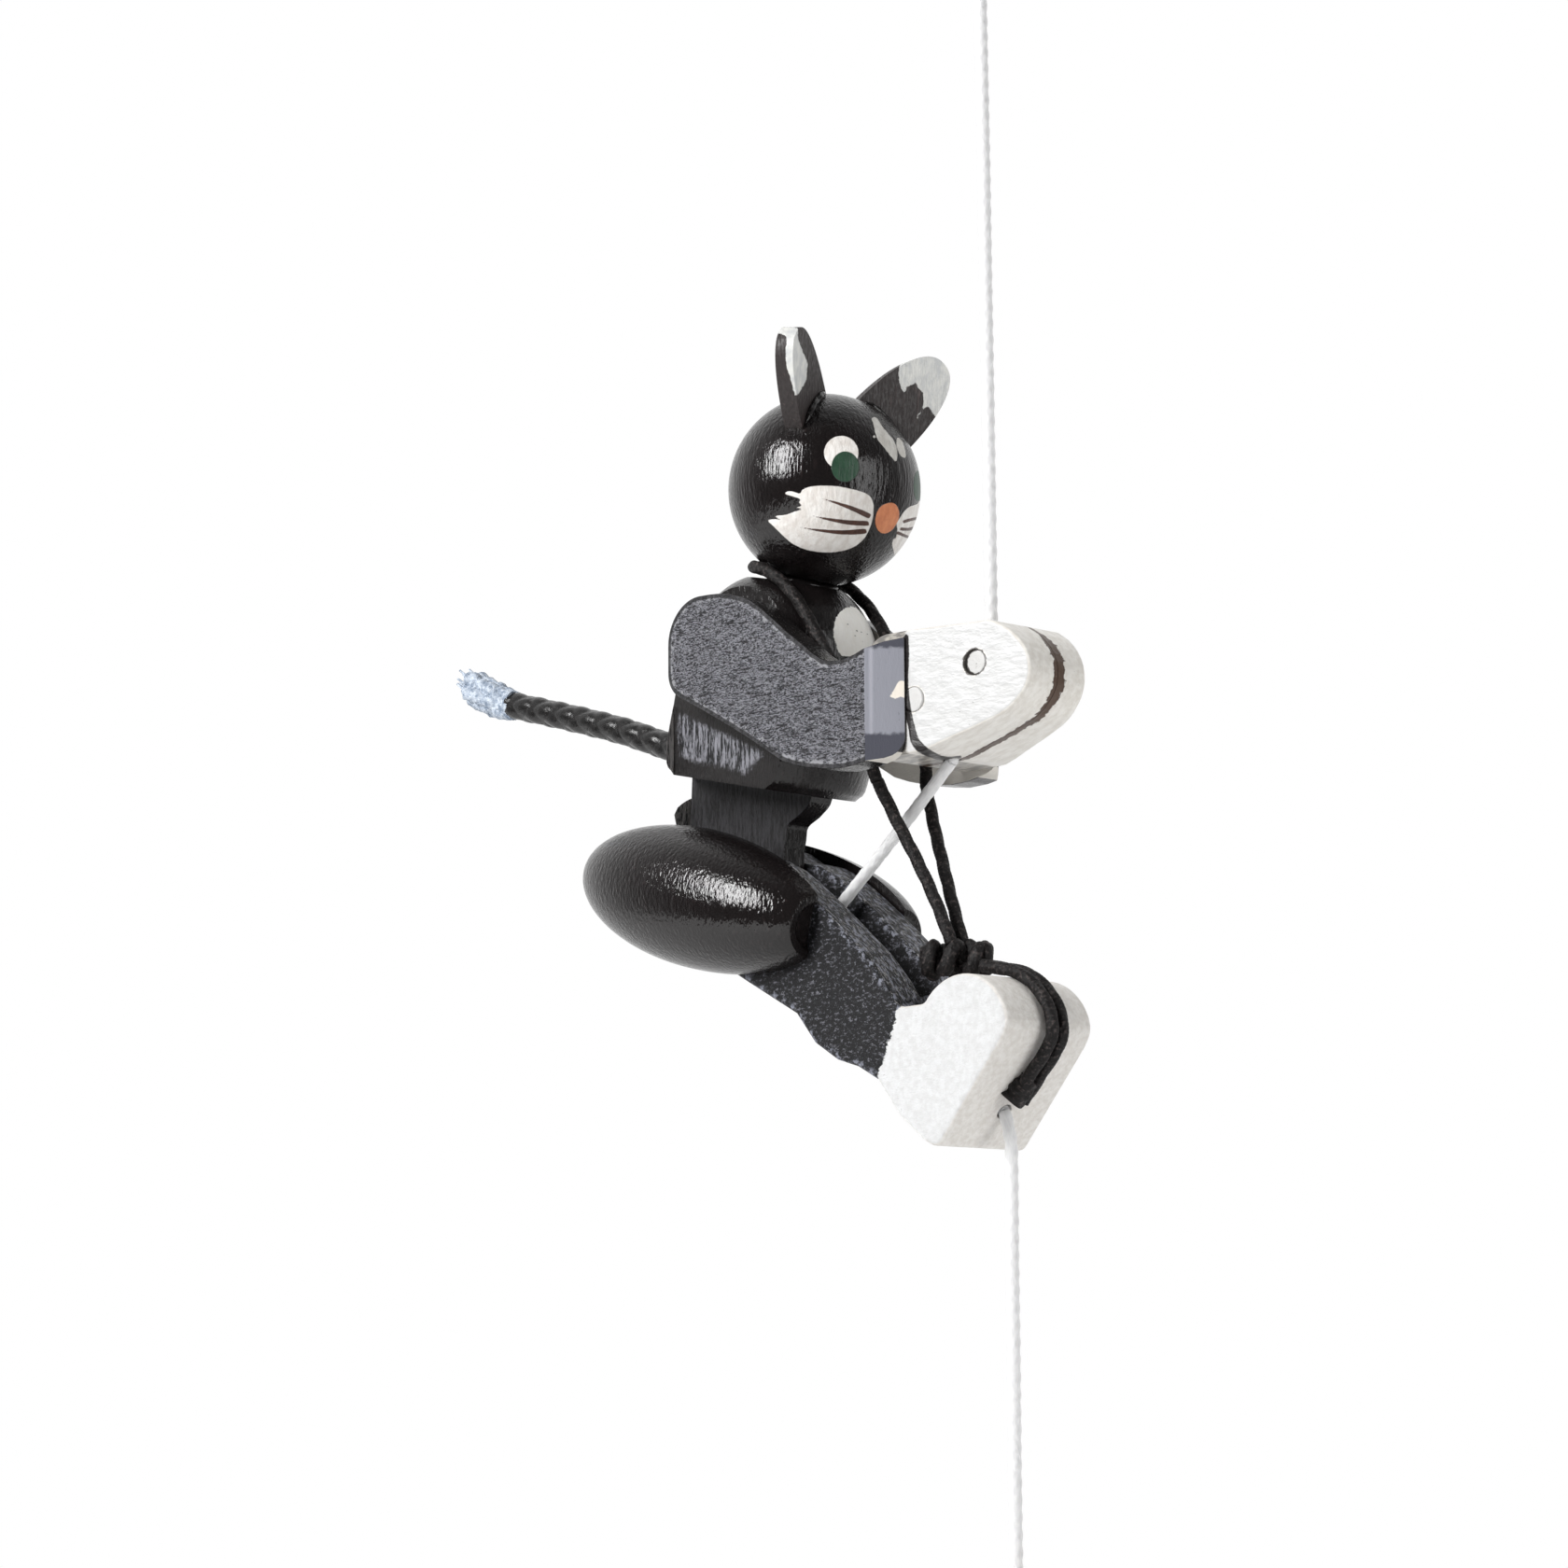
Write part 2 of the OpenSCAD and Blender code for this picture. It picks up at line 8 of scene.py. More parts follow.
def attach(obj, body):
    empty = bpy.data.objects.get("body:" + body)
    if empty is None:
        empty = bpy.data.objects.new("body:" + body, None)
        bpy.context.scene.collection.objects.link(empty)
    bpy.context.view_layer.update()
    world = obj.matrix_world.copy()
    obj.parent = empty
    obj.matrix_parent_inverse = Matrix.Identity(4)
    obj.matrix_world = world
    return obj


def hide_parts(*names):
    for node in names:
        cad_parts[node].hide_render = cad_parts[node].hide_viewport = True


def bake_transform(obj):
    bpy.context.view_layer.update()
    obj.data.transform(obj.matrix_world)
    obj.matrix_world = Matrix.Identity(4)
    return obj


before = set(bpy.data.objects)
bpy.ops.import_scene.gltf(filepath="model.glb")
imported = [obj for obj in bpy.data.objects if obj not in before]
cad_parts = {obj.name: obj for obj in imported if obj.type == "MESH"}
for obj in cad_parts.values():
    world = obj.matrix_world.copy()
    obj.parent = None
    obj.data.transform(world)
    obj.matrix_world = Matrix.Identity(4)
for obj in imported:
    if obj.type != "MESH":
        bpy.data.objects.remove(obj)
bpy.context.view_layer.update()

MM = 0.001
cat_drop = 134
SIDES = ((-1, "right"), (1, "left"))

# Camera: it looks up a little at the cat, from its front right, through a long lens.
camera_aim = Vector((-0.0436, 0, -0.1335))
to_camera = Vector((0.6993, -0.6993, -0.1478))
camera_far, camera_roll = 0.65, math.radians(-0.38)
bpy.ops.object.camera_add(location=camera_aim + camera_far * to_camera)
camera = bpy.context.object
camera.rotation_euler = ((-to_camera).to_track_quat("-Z", "Y").to_matrix()
                         @ Matrix.Rotation(camera_roll, 3, "Z")).to_euler()
camera.data.lens = 95.7
bpy.context.scene.camera = camera
bpy.context.scene.view_settings.view_transform = "Standard"


def add_node(tree, kind, settings=None, **inputs):
    """Adds a shader node. An input is a number or colour, or another node's output to link."""
    made = tree.nodes.new("ShaderNode" + kind)
    for key, value in (settings or {}).items():
        setattr(made, key, value)
    for key, value in inputs.items():
        socket = made.inputs[int(key[1:])] if key[1:].isdigit() else made.inputs[key.replace("_", " ")]
        if isinstance(value, bpy.types.NodeSocket):
            tree.links.new(value, socket)
        else:
            socket.default_value = value
    return made


# Studio: a pale round table far below, white paper all round, a large soft lamp from the upper left
# and a weaker one from the right.
world = bpy.data.worlds.new("studio")
bpy.context.scene.world = world
world.use_nodes = True
tree = world.node_tree
ray = add_node(tree, "LightPath").outputs
seen = add_node(tree, "Math", {"operation": "MAXIMUM"}, i0=ray["Is Camera Ray"], i1=ray["Is Transmission Ray"])
facing = add_node(tree, "VectorMath", {"operation": "DOT_PRODUCT"}, i0=add_node(tree, "TexCoord").outputs["Generated"],
                  i1=-to_camera)
level = add_node(tree, "MapRange", {"interpolation_type": "SMOOTHSTEP"}, Value=facing.outputs["Value"],
                 From_Min=-0.4, From_Max=0.9, To_Min=0.06, To_Max=1.0)
room = tree.nodes["Background"]
room.inputs["Color"].default_value = (1, 1, 1, 1)
tree.links.new(level.outputs[0], room.inputs["Strength"])
paper = add_node(tree, "Background", Color=(1, 1, 1, 1))
backdrop = add_node(tree, "MixShader", i0=seen.outputs[0], i1=room.outputs[0], i2=paper.outputs[0])
tree.links.new(backdrop.outputs[0], tree.nodes["World Output"].inputs["Surface"])

to_right = Vector((0, 0, 1)).cross(to_camera).normalized()
to_top = to_camera.cross(to_right).normalized()
for name, way, distance, width, height, watts in (
        ("key lamp", (-0.72, 0.54, 0.41), 0.9, 0.34, 0.5, 11.5),
        ("fill lamp", (0.8, 0.2, 0.6), 1.1, 0.6, 0.9, 5.6)):
    way = (way[0] * to_right + way[1] * to_top + way[2] * to_camera).normalized()
    bpy.ops.object.light_add(type="AREA", location=camera_aim + way * distance)
    lamp = bpy.context.object
    lamp.name = name
    lamp.data.shape, lamp.data.size, lamp.data.size_y, lamp.data.energy = "RECTANGLE", width, height, watts
    lamp.rotation_euler = way.to_track_quat("Z", "Y").to_euler()


class Paint:
    """A material, with short names for the shader nodes that make its look. Lengths are in millimetres."""

    def __init__(self, name, colour, roughness, **sockets):
        self.material = bpy.data.materials.new(name)
        self.material.use_nodes = True
        self.tree = self.material.node_tree
        self.shader = self.tree.nodes["Principled BSDF"].inputs
        for key, value in {"Base Color": (*colour, 1), "Roughness": roughness, **sockets}.items():
            self.shader[key.replace("_", " ")].default_value = value

    def feed(self, socket, source):
        self.tree.links.new(source, self.shader[socket])

    def coat(self, tone):
        """Makes this the paint's colour."""
        self.tone = tone
        self.feed("Base Color", tone)

    def bump(self, height, strength, distance):
        self.feed("Normal", self.node("Bump", Height=height, Strength=strength, Distance=distance * MM))

    def node(self, kind, settings=None, **inputs):
        return add_node(self.tree, kind, settings, **inputs).outputs[0]

    def reckon(self, operation, a, b=0.0, c=0.0):
        return self.node("Math", {"operation": operation}, i0=a, i1=b, i2=c)

    def blend(self, share, *pair):
        """The first colour where the share is 0, the second where it is 1."""
        a, b = ((*colour, 1) if isinstance(colour, tuple) else colour for colour in pair)
        return add_node(self.tree, "Mix", {"data_type": "RGBA"}, i0=share, i6=a, i7=b).outputs[2]

    def between(self, value, low, high, start=0.0, end=1.0):
        """The value's place from low to high, as a number from start to end."""
        return self.node("MapRange", {"interpolation_type": "SMOOTHSTEP"}, Value=value, From_Min=low,
                         From_Max=high, To_Min=start, To_Max=end)

    def mottled(self, value, low, high, a, b):
        """Colour a where the value is low, and b where it is high."""
        return self.blend(self.between(value, low, high), a, b)

    def places(self, turn=(0, 0, 0), scale=(1, 1, 1), centre=(0, 0, 0)):
        """Where a point of the piece lies, from a centre."""
        coords = add_node(self.tree, "TexCoord").outputs["Object"]
        moved = self.node("VectorMath", {"operation": "MULTIPLY_ADD"}, i0=coords, i1=(1000, 1000, 1000),
                          i2=tuple(-c for c in centre))
        return self.node("Mapping", Vector=moved, Rotation=turn, Scale=scale)

    def apart(self, at):
        return add_node(self.tree, "SeparateXYZ", Vector=at).outputs

    def cord_uv(self, turns, per_mm):
        """A cord's own UV map, counted in turns round it and in steps along it."""
        return self.node("Mapping", Vector=self.node("UVMap", {"uv_map": "UVMap"}), Scale=(turns, per_mm * 10, 1))

    def grain(self, at, scale, detail=4.0, roughness=0.55):
        return self.node("TexNoise", Vector=at, Scale=scale, Detail=detail, Roughness=roughness)

    def attribute(self, name):
        return add_node(self.tree, "Attribute", {"attribute_name": name}).outputs["Fac"]

    def mark(self, name, soft, ragged=0.0):
        """Where a painted mark covers the piece, from 0 to 1, with a ragged edge."""
        value = self.attribute(name)
        if ragged:
            torn = self.grain(self.places(), 1.7, 3.0, 0.6)
            value = self.reckon("ADD", value, self.reckon("MULTIPLY_ADD", torn, 2 * ragged, -ragged))
        return self.between(value, -soft, soft)


def dress(piece, paint):
    piece.data.materials.clear()
    piece.data.materials.append(paint.material)


def fitted(piece, paint, body=None, node_name=None):
    """Paints a piece, and says which solid it stands for and which body it rides."""
    dress(piece, paint)
    if node_name:
        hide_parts(node_name)
    if body:
        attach(piece, body)
    return piece


bpy.ops.mesh.primitive_circle_add(vertices=96, radius=0.55, fill_type="NGON", location=(0, 0, -0.3))
table_top = bpy.context.object
table_top.name = "table_top"
dress(table_top, Paint("table paint", (0.88, 0.88, 0.88), 0.9))


def in_cat(x, y, z):
    """A place in the cat's own frame, in millimetres, as a point of the scene in metres."""
    return Vector((x, y, z - cat_drop)) * MM


def on_middle(*places):
    """Places (x, z) of the cat's middle plane."""
    return [in_cat(x, 0, z) for x, z in places]


def through(points, steps=8):
    """A smooth line through points."""
    line = []
    for i in range(len(points) - 1):
        a, b, c, d = (points[max(0, min(len(points) - 1, i + k))] for k in (-1, 0, 1, 2))
        for t in (k / steps for k in range(steps)):
            line.append(0.5 * (2 * b + (c - a) * t + (2 * a - 5 * b + 4 * c - d) * t**2
                               + (3 * b - a - 3 * c + d) * t**3))
    return line + [points[-1]]


def spaced(line, step):
    """The same line with its points at equal distances."""
    at = [0.0]
    for a, b in zip(line, line[1:]):
        at.append(at[-1] + (b - a).length)
    count = max(2, round(at[-1] / step))
    points, i = [], 0
    for k in range(count + 1):
        want = at[-1] * k / count
        while i < len(line) - 2 and at[i + 1] < want:
            i += 1
        points.append(line[i].lerp(line[i + 1], (want - at[i]) / max(at[i + 1] - at[i], 1e-12)))
    return points


def cord_tube(name, route, thickness, relief, sides=24, step=0.25, closed=False):
    """A tube along a route. Its radius follows relief(angle, millimetres along), and its UV map does too."""
    line = spaced(route, step * MM)
    if closed:
        line = line[:-1]
    count = len(line)
    made = bmesh.new()
    uv = made.loops.layers.uv.new("UVMap")
    rings, side = [], None
    for i, point in enumerate(line):
        ahead, behind = (line[(i + k) % count] if closed else line[max(0, min(count - 1, i + k))] for k in (1, -1))
        way = (ahead - behind).normalized()
        side = way.orthogonal().normalized() if side is None else (side - way * side.dot(way)).normalized()
        other = way.cross(side)
        ring = []
        for k in range(sides):
            a = math.tau * k / sides
            r = thickness / 2 * MM * relief(a, i * step)
            ring.append(made.verts.new(point + r * (math.cos(a) * side + math.sin(a) * other)))
        rings.append(ring)
    for i in range(count if closed else count - 1):
        for k in range(sides):
            n, j = (k + 1) % sides, (i + 1) % count
            face = made.faces.new((rings[i][k], rings[i][n], rings[j][n], rings[j][k]))
            face.smooth = True
            for loop, (u, v) in zip(face.loops, ((k, i), (k + 1, i), (k + 1, i + 1), (k, i + 1))):
                loop[uv].uv = (u / sides, v * step * 0.1)
    if not closed:
        made.faces.new(list(reversed(rings[0])))
        made.faces.new(rings[-1])
    mesh_data = bpy.data.meshes.new(name)
    made.to_mesh(mesh_data)
    made.free()
    piece = bpy.data.objects.new(name, mesh_data)
    bpy.context.collection.objects.link(piece)
    return piece, line


def braid(strands, pitch, depth):
    """Relief of a round braid with this many strands each way; pitch is the length of one bump."""

    def relief(angle, along):
        a = strands * angle / math.tau + along / pitch / 2
        b = strands * angle / math.tau - along / pitch / 2
        over, under = (a, b) if (math.floor(a) + math.floor(b)) % 2 == 0 else (b, a)
        bump = math.sin(math.pi * (over % 1)) ** 0.8 * (0.45 + 0.55 * math.sin(math.pi * (under % 1)))
        return 1 - depth + depth * bump

    return relief


def picked(piece=None):
    """Makes this piece, or none, the only one that the next operators work on."""
    bpy.ops.object.select_all(action="DESELECT")
    if piece:
        piece.select_set(True)
        bpy.context.view_layer.objects.active = piece


def outlined(name, outline, filled):
    """A new ring of corners, moved onto an outline of (x, z) in millimetres."""
    picked()
    bpy.ops.mesh.primitive_circle_add(vertices=len(outline), radius=1, fill_type="NGON" if filled else "NOTHING")
    piece = bpy.context.object
    piece.name = piece.data.name = name
    for corner, (x, z) in zip(piece.data.vertices, outline):
        corner.co = Vector((x, 0, z)) * MM
    return piece


def turned(name, outline, axis_at, lean):
    """A turned piece: its outline of (radius, height) spun round an axis that leans towards the front."""
    piece = outlined(name, outline, False)
    bpy.ops.object.mode_set(mode="EDIT")
    bpy.ops.mesh.select_all(action="SELECT")
    bpy.ops.mesh.spin(steps=128, angle=math.tau, center=(0, 0, 0), axis=(0, 0, 1))
    bpy.ops.mesh.remove_doubles(threshold=1e-6)
    bpy.ops.mesh.delete_loose()
    bpy.ops.object.mode_set(mode="OBJECT")
    tidy = bmesh.new()
    tidy.from_mesh(piece.data)
    bmesh.ops.delete(tidy, geom=[f for f in tidy.faces if f.calc_area() < 1e-14], context="FACES_ONLY")
    bmesh.ops.dissolve_degenerate(tidy, dist=1e-7, edges=tidy.edges)
    bmesh.ops.delete(tidy, geom=[e for e in tidy.edges if not e.link_faces], context="EDGES")
    bmesh.ops.recalc_face_normals(tidy, faces=tidy.faces)
    tidy.to_mesh(piece.data)
    tidy.free()
    piece.data.transform(Matrix.Translation(axis_at) @ Matrix.Rotation(lean, 4, "Y"))
    return piece


def thickened(piece, thickness):
    """Makes a board of a flat outline, along Y."""
    bpy.ops.object.mode_set(mode="EDIT")
    bpy.ops.mesh.select_all(action="SELECT")
    bpy.ops.mesh.extrude_region_move(TRANSFORM_OT_translate={"value": (0, thickness * MM, 0)})
    bpy.ops.mesh.select_all(action="SELECT")
    bpy.ops.mesh.normals_make_consistent(inside=False)
    bpy.ops.object.mode_set(mode="OBJECT")
    return piece


def sawn(name, outline, *faces):
    """A sawn board: its outline of (x, z) in the cat's frame, from one side to the other."""
    piece = outlined(name, outline, True)
    piece.data.transform(Matrix.Translation(in_cat(0, min(faces), 0)))
    return thickened(piece, max(faces) - min(faces))


def box(*corners):
    """A block of waste wood between two corners in the cat's frame."""
    low, high = (in_cat(*(end(pair) for pair in zip(*corners))) for end in (min, max))
    picked()
    bpy.ops.mesh.primitive_cube_add(size=1, location=(low + high) / 2, scale=high - low)
    bpy.ops.object.transform_apply()
    return bpy.context.object


def tilted(tool, x, y, angle):
    """Turns a tool about the upright line at x, and moves it out to y."""
    tool.data.transform(Matrix.Translation(in_cat(x, y, 0)) @ Matrix.Rotation(angle, 4, "Z")
                        @ Matrix.Translation(-in_cat(x, 0, 0)))
    return tool


def rod(a, b, across):
    """A round bar between two points."""
    picked()
    bpy.ops.mesh.primitive_cylinder_add(vertices=48, radius=across / 2 * MM, depth=(b - a).length,
                                        location=(a + b) / 2, rotation=(b - a).to_track_quat("Z", "Y").to_euler())
    bpy.ops.object.transform_apply()
    return bpy.context.object


def cross_rod(place, across, reach=20):
    """A round bar that lies across the cat at a place (x, z)."""
    x, z = place
    return rod(in_cat(x, -reach, z), in_cat(x, reach, z), across)


def worked(piece, tool, how="DIFFERENCE"):
    """Cuts the tool out of the piece, or joins it on, and takes the tool away."""
    picked(piece)
    step = piece.modifiers.new(how, "BOOLEAN")
    step.operation, step.object, step.solver = how, tool, "EXACT"
    bpy.ops.object.modifier_apply(modifier=step.name)
    bpy.data.objects.remove(tool)


def eased(piece, width, segments=3, sharper_than=28):
    """Rounds the piece's sharp edges, as sandpaper and thick paint do."""
    picked(piece)
    edges = piece.modifiers.new("eased", "BEVEL")
    edges.width, edges.segments, edges.limit_method = width * MM, segments, "ANGLE"
    edges.angle_limit, edges.use_clamp_overlap = math.radians(sharper_than), True
    bpy.ops.object.modifier_apply(modifier=edges.name)
    bpy.ops.object.shade_smooth_by_angle(angle=math.radians(32))


def arc(centre, r, start, end, steps):
    turns = (math.radians(start + (end - start) * k / steps) for k in range(steps + 1))
    return [(centre[0] + r * math.cos(a), centre[1] + r * math.sin(a)) for a in turns]


def diced(piece, step):
    """Cuts the piece's faces along even planes, close enough together to carry painted marks."""
    made = bmesh.new()
    made.from_mesh(piece.data)
    for axis in range(3):
        spread = [v.co[axis] for v in made.verts]
        for k in range(math.ceil(min(spread) / (step * MM)), math.floor(max(spread) / (step * MM)) + 1):
            way = Vector([float(i == axis) for i in range(3)])
            bmesh.ops.bisect_plane(made, geom=made.verts[:] + made.edges[:] + made.faces[:], dist=1e-7,
                                   plane_co=way * (k + 0.37) * step * MM, plane_no=way)
    made.to_mesh(piece.data)
    made.free()


# Painted marks are placed by the pixel of the photograph where the camera sees them.
photo_focal, photo_half = camera.data.lens / 36 * 1680, 840
px_mm = camera_far * 1000 / photo_focal
camera_turn = camera.rotation_euler.to_matrix()


def in_photo(point):
    """The pixel at which the camera sees a point."""
    seen = camera_turn.transposed() @ (point - camera.location)
    return photo_half - photo_focal * seen.x / seen.z, photo_half + photo_focal * seen.y / seen.z


def zoomed(points, u, v, zoom):
    """Corners read from an enlarged view, as pixels of the photograph."""
    return [(u + x / zoom, v + y / zoom) for x, y in points]


def oval(u, v, ru, rv, corners=28):
    return [(u + ru * math.cos(math.tau * k / corners), v + rv * math.sin(math.tau * k / corners))
            for k in range(corners)]


def rounded(points):
    """A smooth closed outline through given corners."""
    steps, points = 4, [Vector((u, v, 0)) for u, v in points]
    line = through(points[-1:] + points + points[:2], steps)[steps:-steps - 1]
    return [(p.x, p.y) for p in line]


def stroke(points, widths):
    """The outline of a brush stroke along a line, with its width at each point of the line."""
    line = through([Vector((u, v, w)) for (u, v), w in zip(points, widths)], 5)
    left, right = [], []
    for i, p in enumerate(line):
        way = (line[min(i + 1, len(line) - 1)] - line[max(i - 1, 0)]).to_2d().normalized()
        left.append((p.x - way.y * p.z / 2, p.y + way.x * p.z / 2))
        right.append((p.x + way.y * p.z / 2, p.y - way.x * p.z / 2))
    return left + right[::-1]


def inside_by(outline, u, v):
    """How far a point lies inside an outline. Outside it the number is negative."""
    inside, nearest, a = False, 1e9, outline[-1]
    for b in outline:
        if (a[1] > v) != (b[1] > v) and u < a[0] + (v - a[1]) * (b[0] - a[0]) / (b[1] - a[1]):
            inside = not inside
        du, dv = b[0] - a[0], b[1] - a[1]
        t = max(0, min(1, ((u - a[0]) * du + (v - a[1]) * dv) / max(du * du + dv * dv, 1e-9)))
        nearest = min(nearest, (a[0] + t * du - u) ** 2 + (a[1] + t * dv - v) ** 2)
        a = b
    return math.sqrt(nearest) * (1 if inside else -1)


def marked(piece, name, number_at):
    """Gives each point of the piece a number that its material reads."""
    layer = piece.data.attributes.new(name, "FLOAT", "POINT")
    for i, point in enumerate(piece.data.vertices):
        layer.data[i].value = number_at(point.co, point.normal)


def rimmed(board, outline):
    """Marks how far each point of a board lies from its sawn edge."""
    edge = [(x, z - cat_drop) for x, z in outline]
    marked(board, "rim", lambda p, n: abs(inside_by(edge, p.x / MM, p.z / MM)))


def brushed(piece, name, outlines, both_sides=False, reach=14):
    """Marks how many millimetres inside the painted outlines each point of the piece lies. What the camera
    doesn't see stays bare, or mirrors the near side."""
    boxes = [(o, min(u for u, v in o) - reach, max(u for u, v in o) + reach, min(v for u, v in o) - reach,
              max(v for u, v in o) + reach) for o in outlines]
    flip = Vector((1, -1, 1))

    def depth(point):
        u, v = in_photo(point)
        return max([inside_by(o, u, v) for o, u0, u1, v0, v1 in boxes if u0 < u < u1 and v0 < v < v1] + [-reach])

    def number_at(point, normal):
        if normal.dot(camera.location - point) > 0:
            return depth(point) * px_mm
        if both_sides and (normal * flip).dot(camera.location - point * flip) > 0:
            return depth(point * flip) * px_mm
        return -reach * px_mm

    marked(piece, name, number_at)


def surfaced(piece, paint, test):
    """Gives the faces whose normal and middle pass the test a paint of their own."""
    piece.data.materials.append(paint.material)
    index = len(piece.data.materials) - 1
    for face in piece.data.polygons:
        if test(face.normal, face.center / MM):
            face.material_index = index


# String: one length of white braided polyester, 2 mm thick. It hangs from its loop, runs through the
# hands, back between the legs, round the guide pin and out under the feet, down to the pull bead.
string_d, string_hole_d = 2.0, 2.6
string_white = Paint("string white", (0.86, 0.86, 0.85), 0.62, Subsurface_Weight=1.0, Subsurface_Radius=(1, 1, 1),
                     Subsurface_Scale=0.0015, Sheen_Weight=0.3, Sheen_Roughness=0.5)
fibres = string_white.grain(string_white.cord_uv(26, 0.9), 1.0, 3.0)
string_white.coat(string_white.mottled(fibres, 0.3, 0.7, (0.62, 0.62, 0.63), (0.70, 0.70, 0.695)))
string_white.bump(fibres, 0.5, 0.08)

string_braid = braid(4, 1.25, 0.17)
upper_route = [Vector((x * MM, 0, z * MM)) for x, z in (
    (0, -16.9), (0.2, -41.5), (0.3, -66), (0.4, -90.6), (0.4, -115.2))]
hand_route = on_middle((0.4, 18.8), (-0.1, 15.5), (-1.6, 12), (-2.9, 9.2), (-3.3, 7.2), (-5, 4.2), (-8, 0))
mid_route = on_middle((-8, 0), (-15, -6), (-22.4, -12.2), (-30, -18.4), (-34.1, -21.7))
foot_route = on_middle((-34.1, -21.7), (-35, -23.1), (-35, -24.5), (-34, -26), (-28, -30.5), (-22, -35),
                       (-12.1, -42.4), (-5, -47.7), (1.6, -53))
lower_route = on_middle((1.6, -53), (2.5, -56), (2.9, -60), (2.8, -75), (2.8, -90), (2.7, -105), (2.7, -121),
                        (2.7, -133))

string_pieces = {}
for part, route, body in (("upper", upper_route, None), ("in_hand", hand_route, "hand_grip"),
                          ("mid", mid_route, None), ("in_foot", foot_route, "legs"), ("lower", lower_route, None)):
    piece, line = cord_tube("string_" + part + "_braid", through(route), string_d, string_braid, sides=20)
    string_pieces[part] = fitted(piece, string_white, body, "string_" + part), line

# The loop and its knot, above the view: the end of the string tied back on itself.
loop_route = [Vector((0, 5.5 * math.sin(a) * (1 + 0.25 * math.cos(a)), -6 + 7 * math.cos(a))) * MM
              for a in (math.tau * k / 55 for k in range(56))]
loop, _ = cord_tube("hang_loop_braid", loop_route, string_d, string_braid, sides=20, closed=True)
fitted(loop, string_white, "line", "hang_loop")


def overhand_knot(node_name, centre):
    """An overhand knot: a trefoil of the same cord, drawn tight."""
    knot_d, knotted_d = 4.4, 1.9
    route = []
    for k in range(61):
        a = math.tau * k / 60
        way = Vector((math.sin(a) + 2 * math.sin(2 * a), math.cos(a) - 2 * math.cos(2 * a), -1.2 * math.sin(3 * a)))
        route.append(centre + way * (knot_d / 2 - knotted_d / 2) / 3 * MM)
    knot, _ = cord_tube(node_name + "_braid", route, knotted_d, string_braid, sides=16, closed=True)
    return fitted(knot, string_white, "line", node_name)


loop_knot = overhand_knot("loop_knot", Vector((0, 0, -14.6)) * MM)
bead_knot = overhand_knot("bead_knot", in_cat(2.7, 0, -135.2))

# Pull bead: a turned beech ball with a hole drilled through it. It is oiled and left bare, and it hangs on
# the string's knot below the view.
bead_r, bead_hole_r, bead_middle = 6 * MM, 1.3 * MM, in_cat(2.7, 0, -127)
picked()
bpy.ops.mesh.primitive_uv_sphere_add(segments=64, ring_count=48, radius=bead_r, location=bead_middle)
bead = bpy.context.object
bead.name = "pull_bead_turned"
bpy.ops.mesh.primitive_cylinder_add(vertices=48, radius=bead_hole_r, depth=3 * bead_r, location=bead_middle)
worked(bead, bpy.context.object)
bpy.ops.object.transform_apply(location=True, rotation=True, scale=True)
bpy.ops.object.shade_smooth_by_angle(angle=math.radians(40))
bare_wood = Paint("bare beech", (0.62, 0.43, 0.25), 0.5, Coat_Weight=0.15, Coat_Roughness=0.4)
flecks = bare_wood.grain(bare_wood.places(scale=(1, 1, 0.12), centre=(2.7, 0, -261)), 1.6, 6.0)
bare_wood.coat(bare_wood.mottled(flecks, 0.35, 0.65, (0.50, 0.32, 0.17), (0.70, 0.50, 0.31)))
bare_wood.bump(flecks, 0.3, 0.1)
fitted(bead, bare_wood, "line", "pull_bead")

# The two free lengths of the string slide on the hands as the cat climbs.
upper, upper_line = string_pieces["upper"]
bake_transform(upper)
lower, lower_line = string_pieces["lower"]
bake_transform(lower)
mid, mid_line = string_pieces["mid"]
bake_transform(mid)


def black_paint(name, colour, roughness, streak, relief, layers=()):
    """Thin black gloss over wood grain that runs along Z, with marks of other colours on top of it.
    A layer is a mark's name, its light and dark colour, its roughness and how ragged its edge is."""
    paint = Paint(name, colour, roughness, Specular_IOR_Level=0.42)
    long_grain = paint.grain(paint.places(scale=(1, 1, streak)), 1.9, 2.0, 0.5)
    fine_grain = paint.grain(paint.places(scale=(1, 1, 0.4)), 2.6, 2.0, 0.5)
    height = paint.reckon("MULTIPLY_ADD", fine_grain, 0.4, long_grain)
    tone = paint.mottled(long_grain, 0.60, 0.76, colour, (colour[0] * 2.2, colour[1] * 2, colour[2] * 2))
    shine = paint.between(fine_grain, 0.3, 0.7, roughness * 0.8, roughness * 1.25)
    brush = paint.grain(paint.places(turn=(0, 0.5, 0), scale=(0.5, 1, 0.5)), 1.1, 3.0, 0.6)
    for mark_name, light, dark, layer_roughness, ragged in layers:
        cover = paint.mark(mark_name, 0.07, ragged)
        tone = paint.blend(cover, tone, paint.mottled(brush, 0.3, 0.7, dark, light))
        shine = paint.node("Mix", i0=cover, i2=shine, i3=layer_roughness)
        height = paint.reckon("MULTIPLY_ADD", cover, 0.35, height)
    paint.coat(tone)
    paint.feed("Roughness", shine)
    paint.bump(height, relief, 0.13)
    return paint


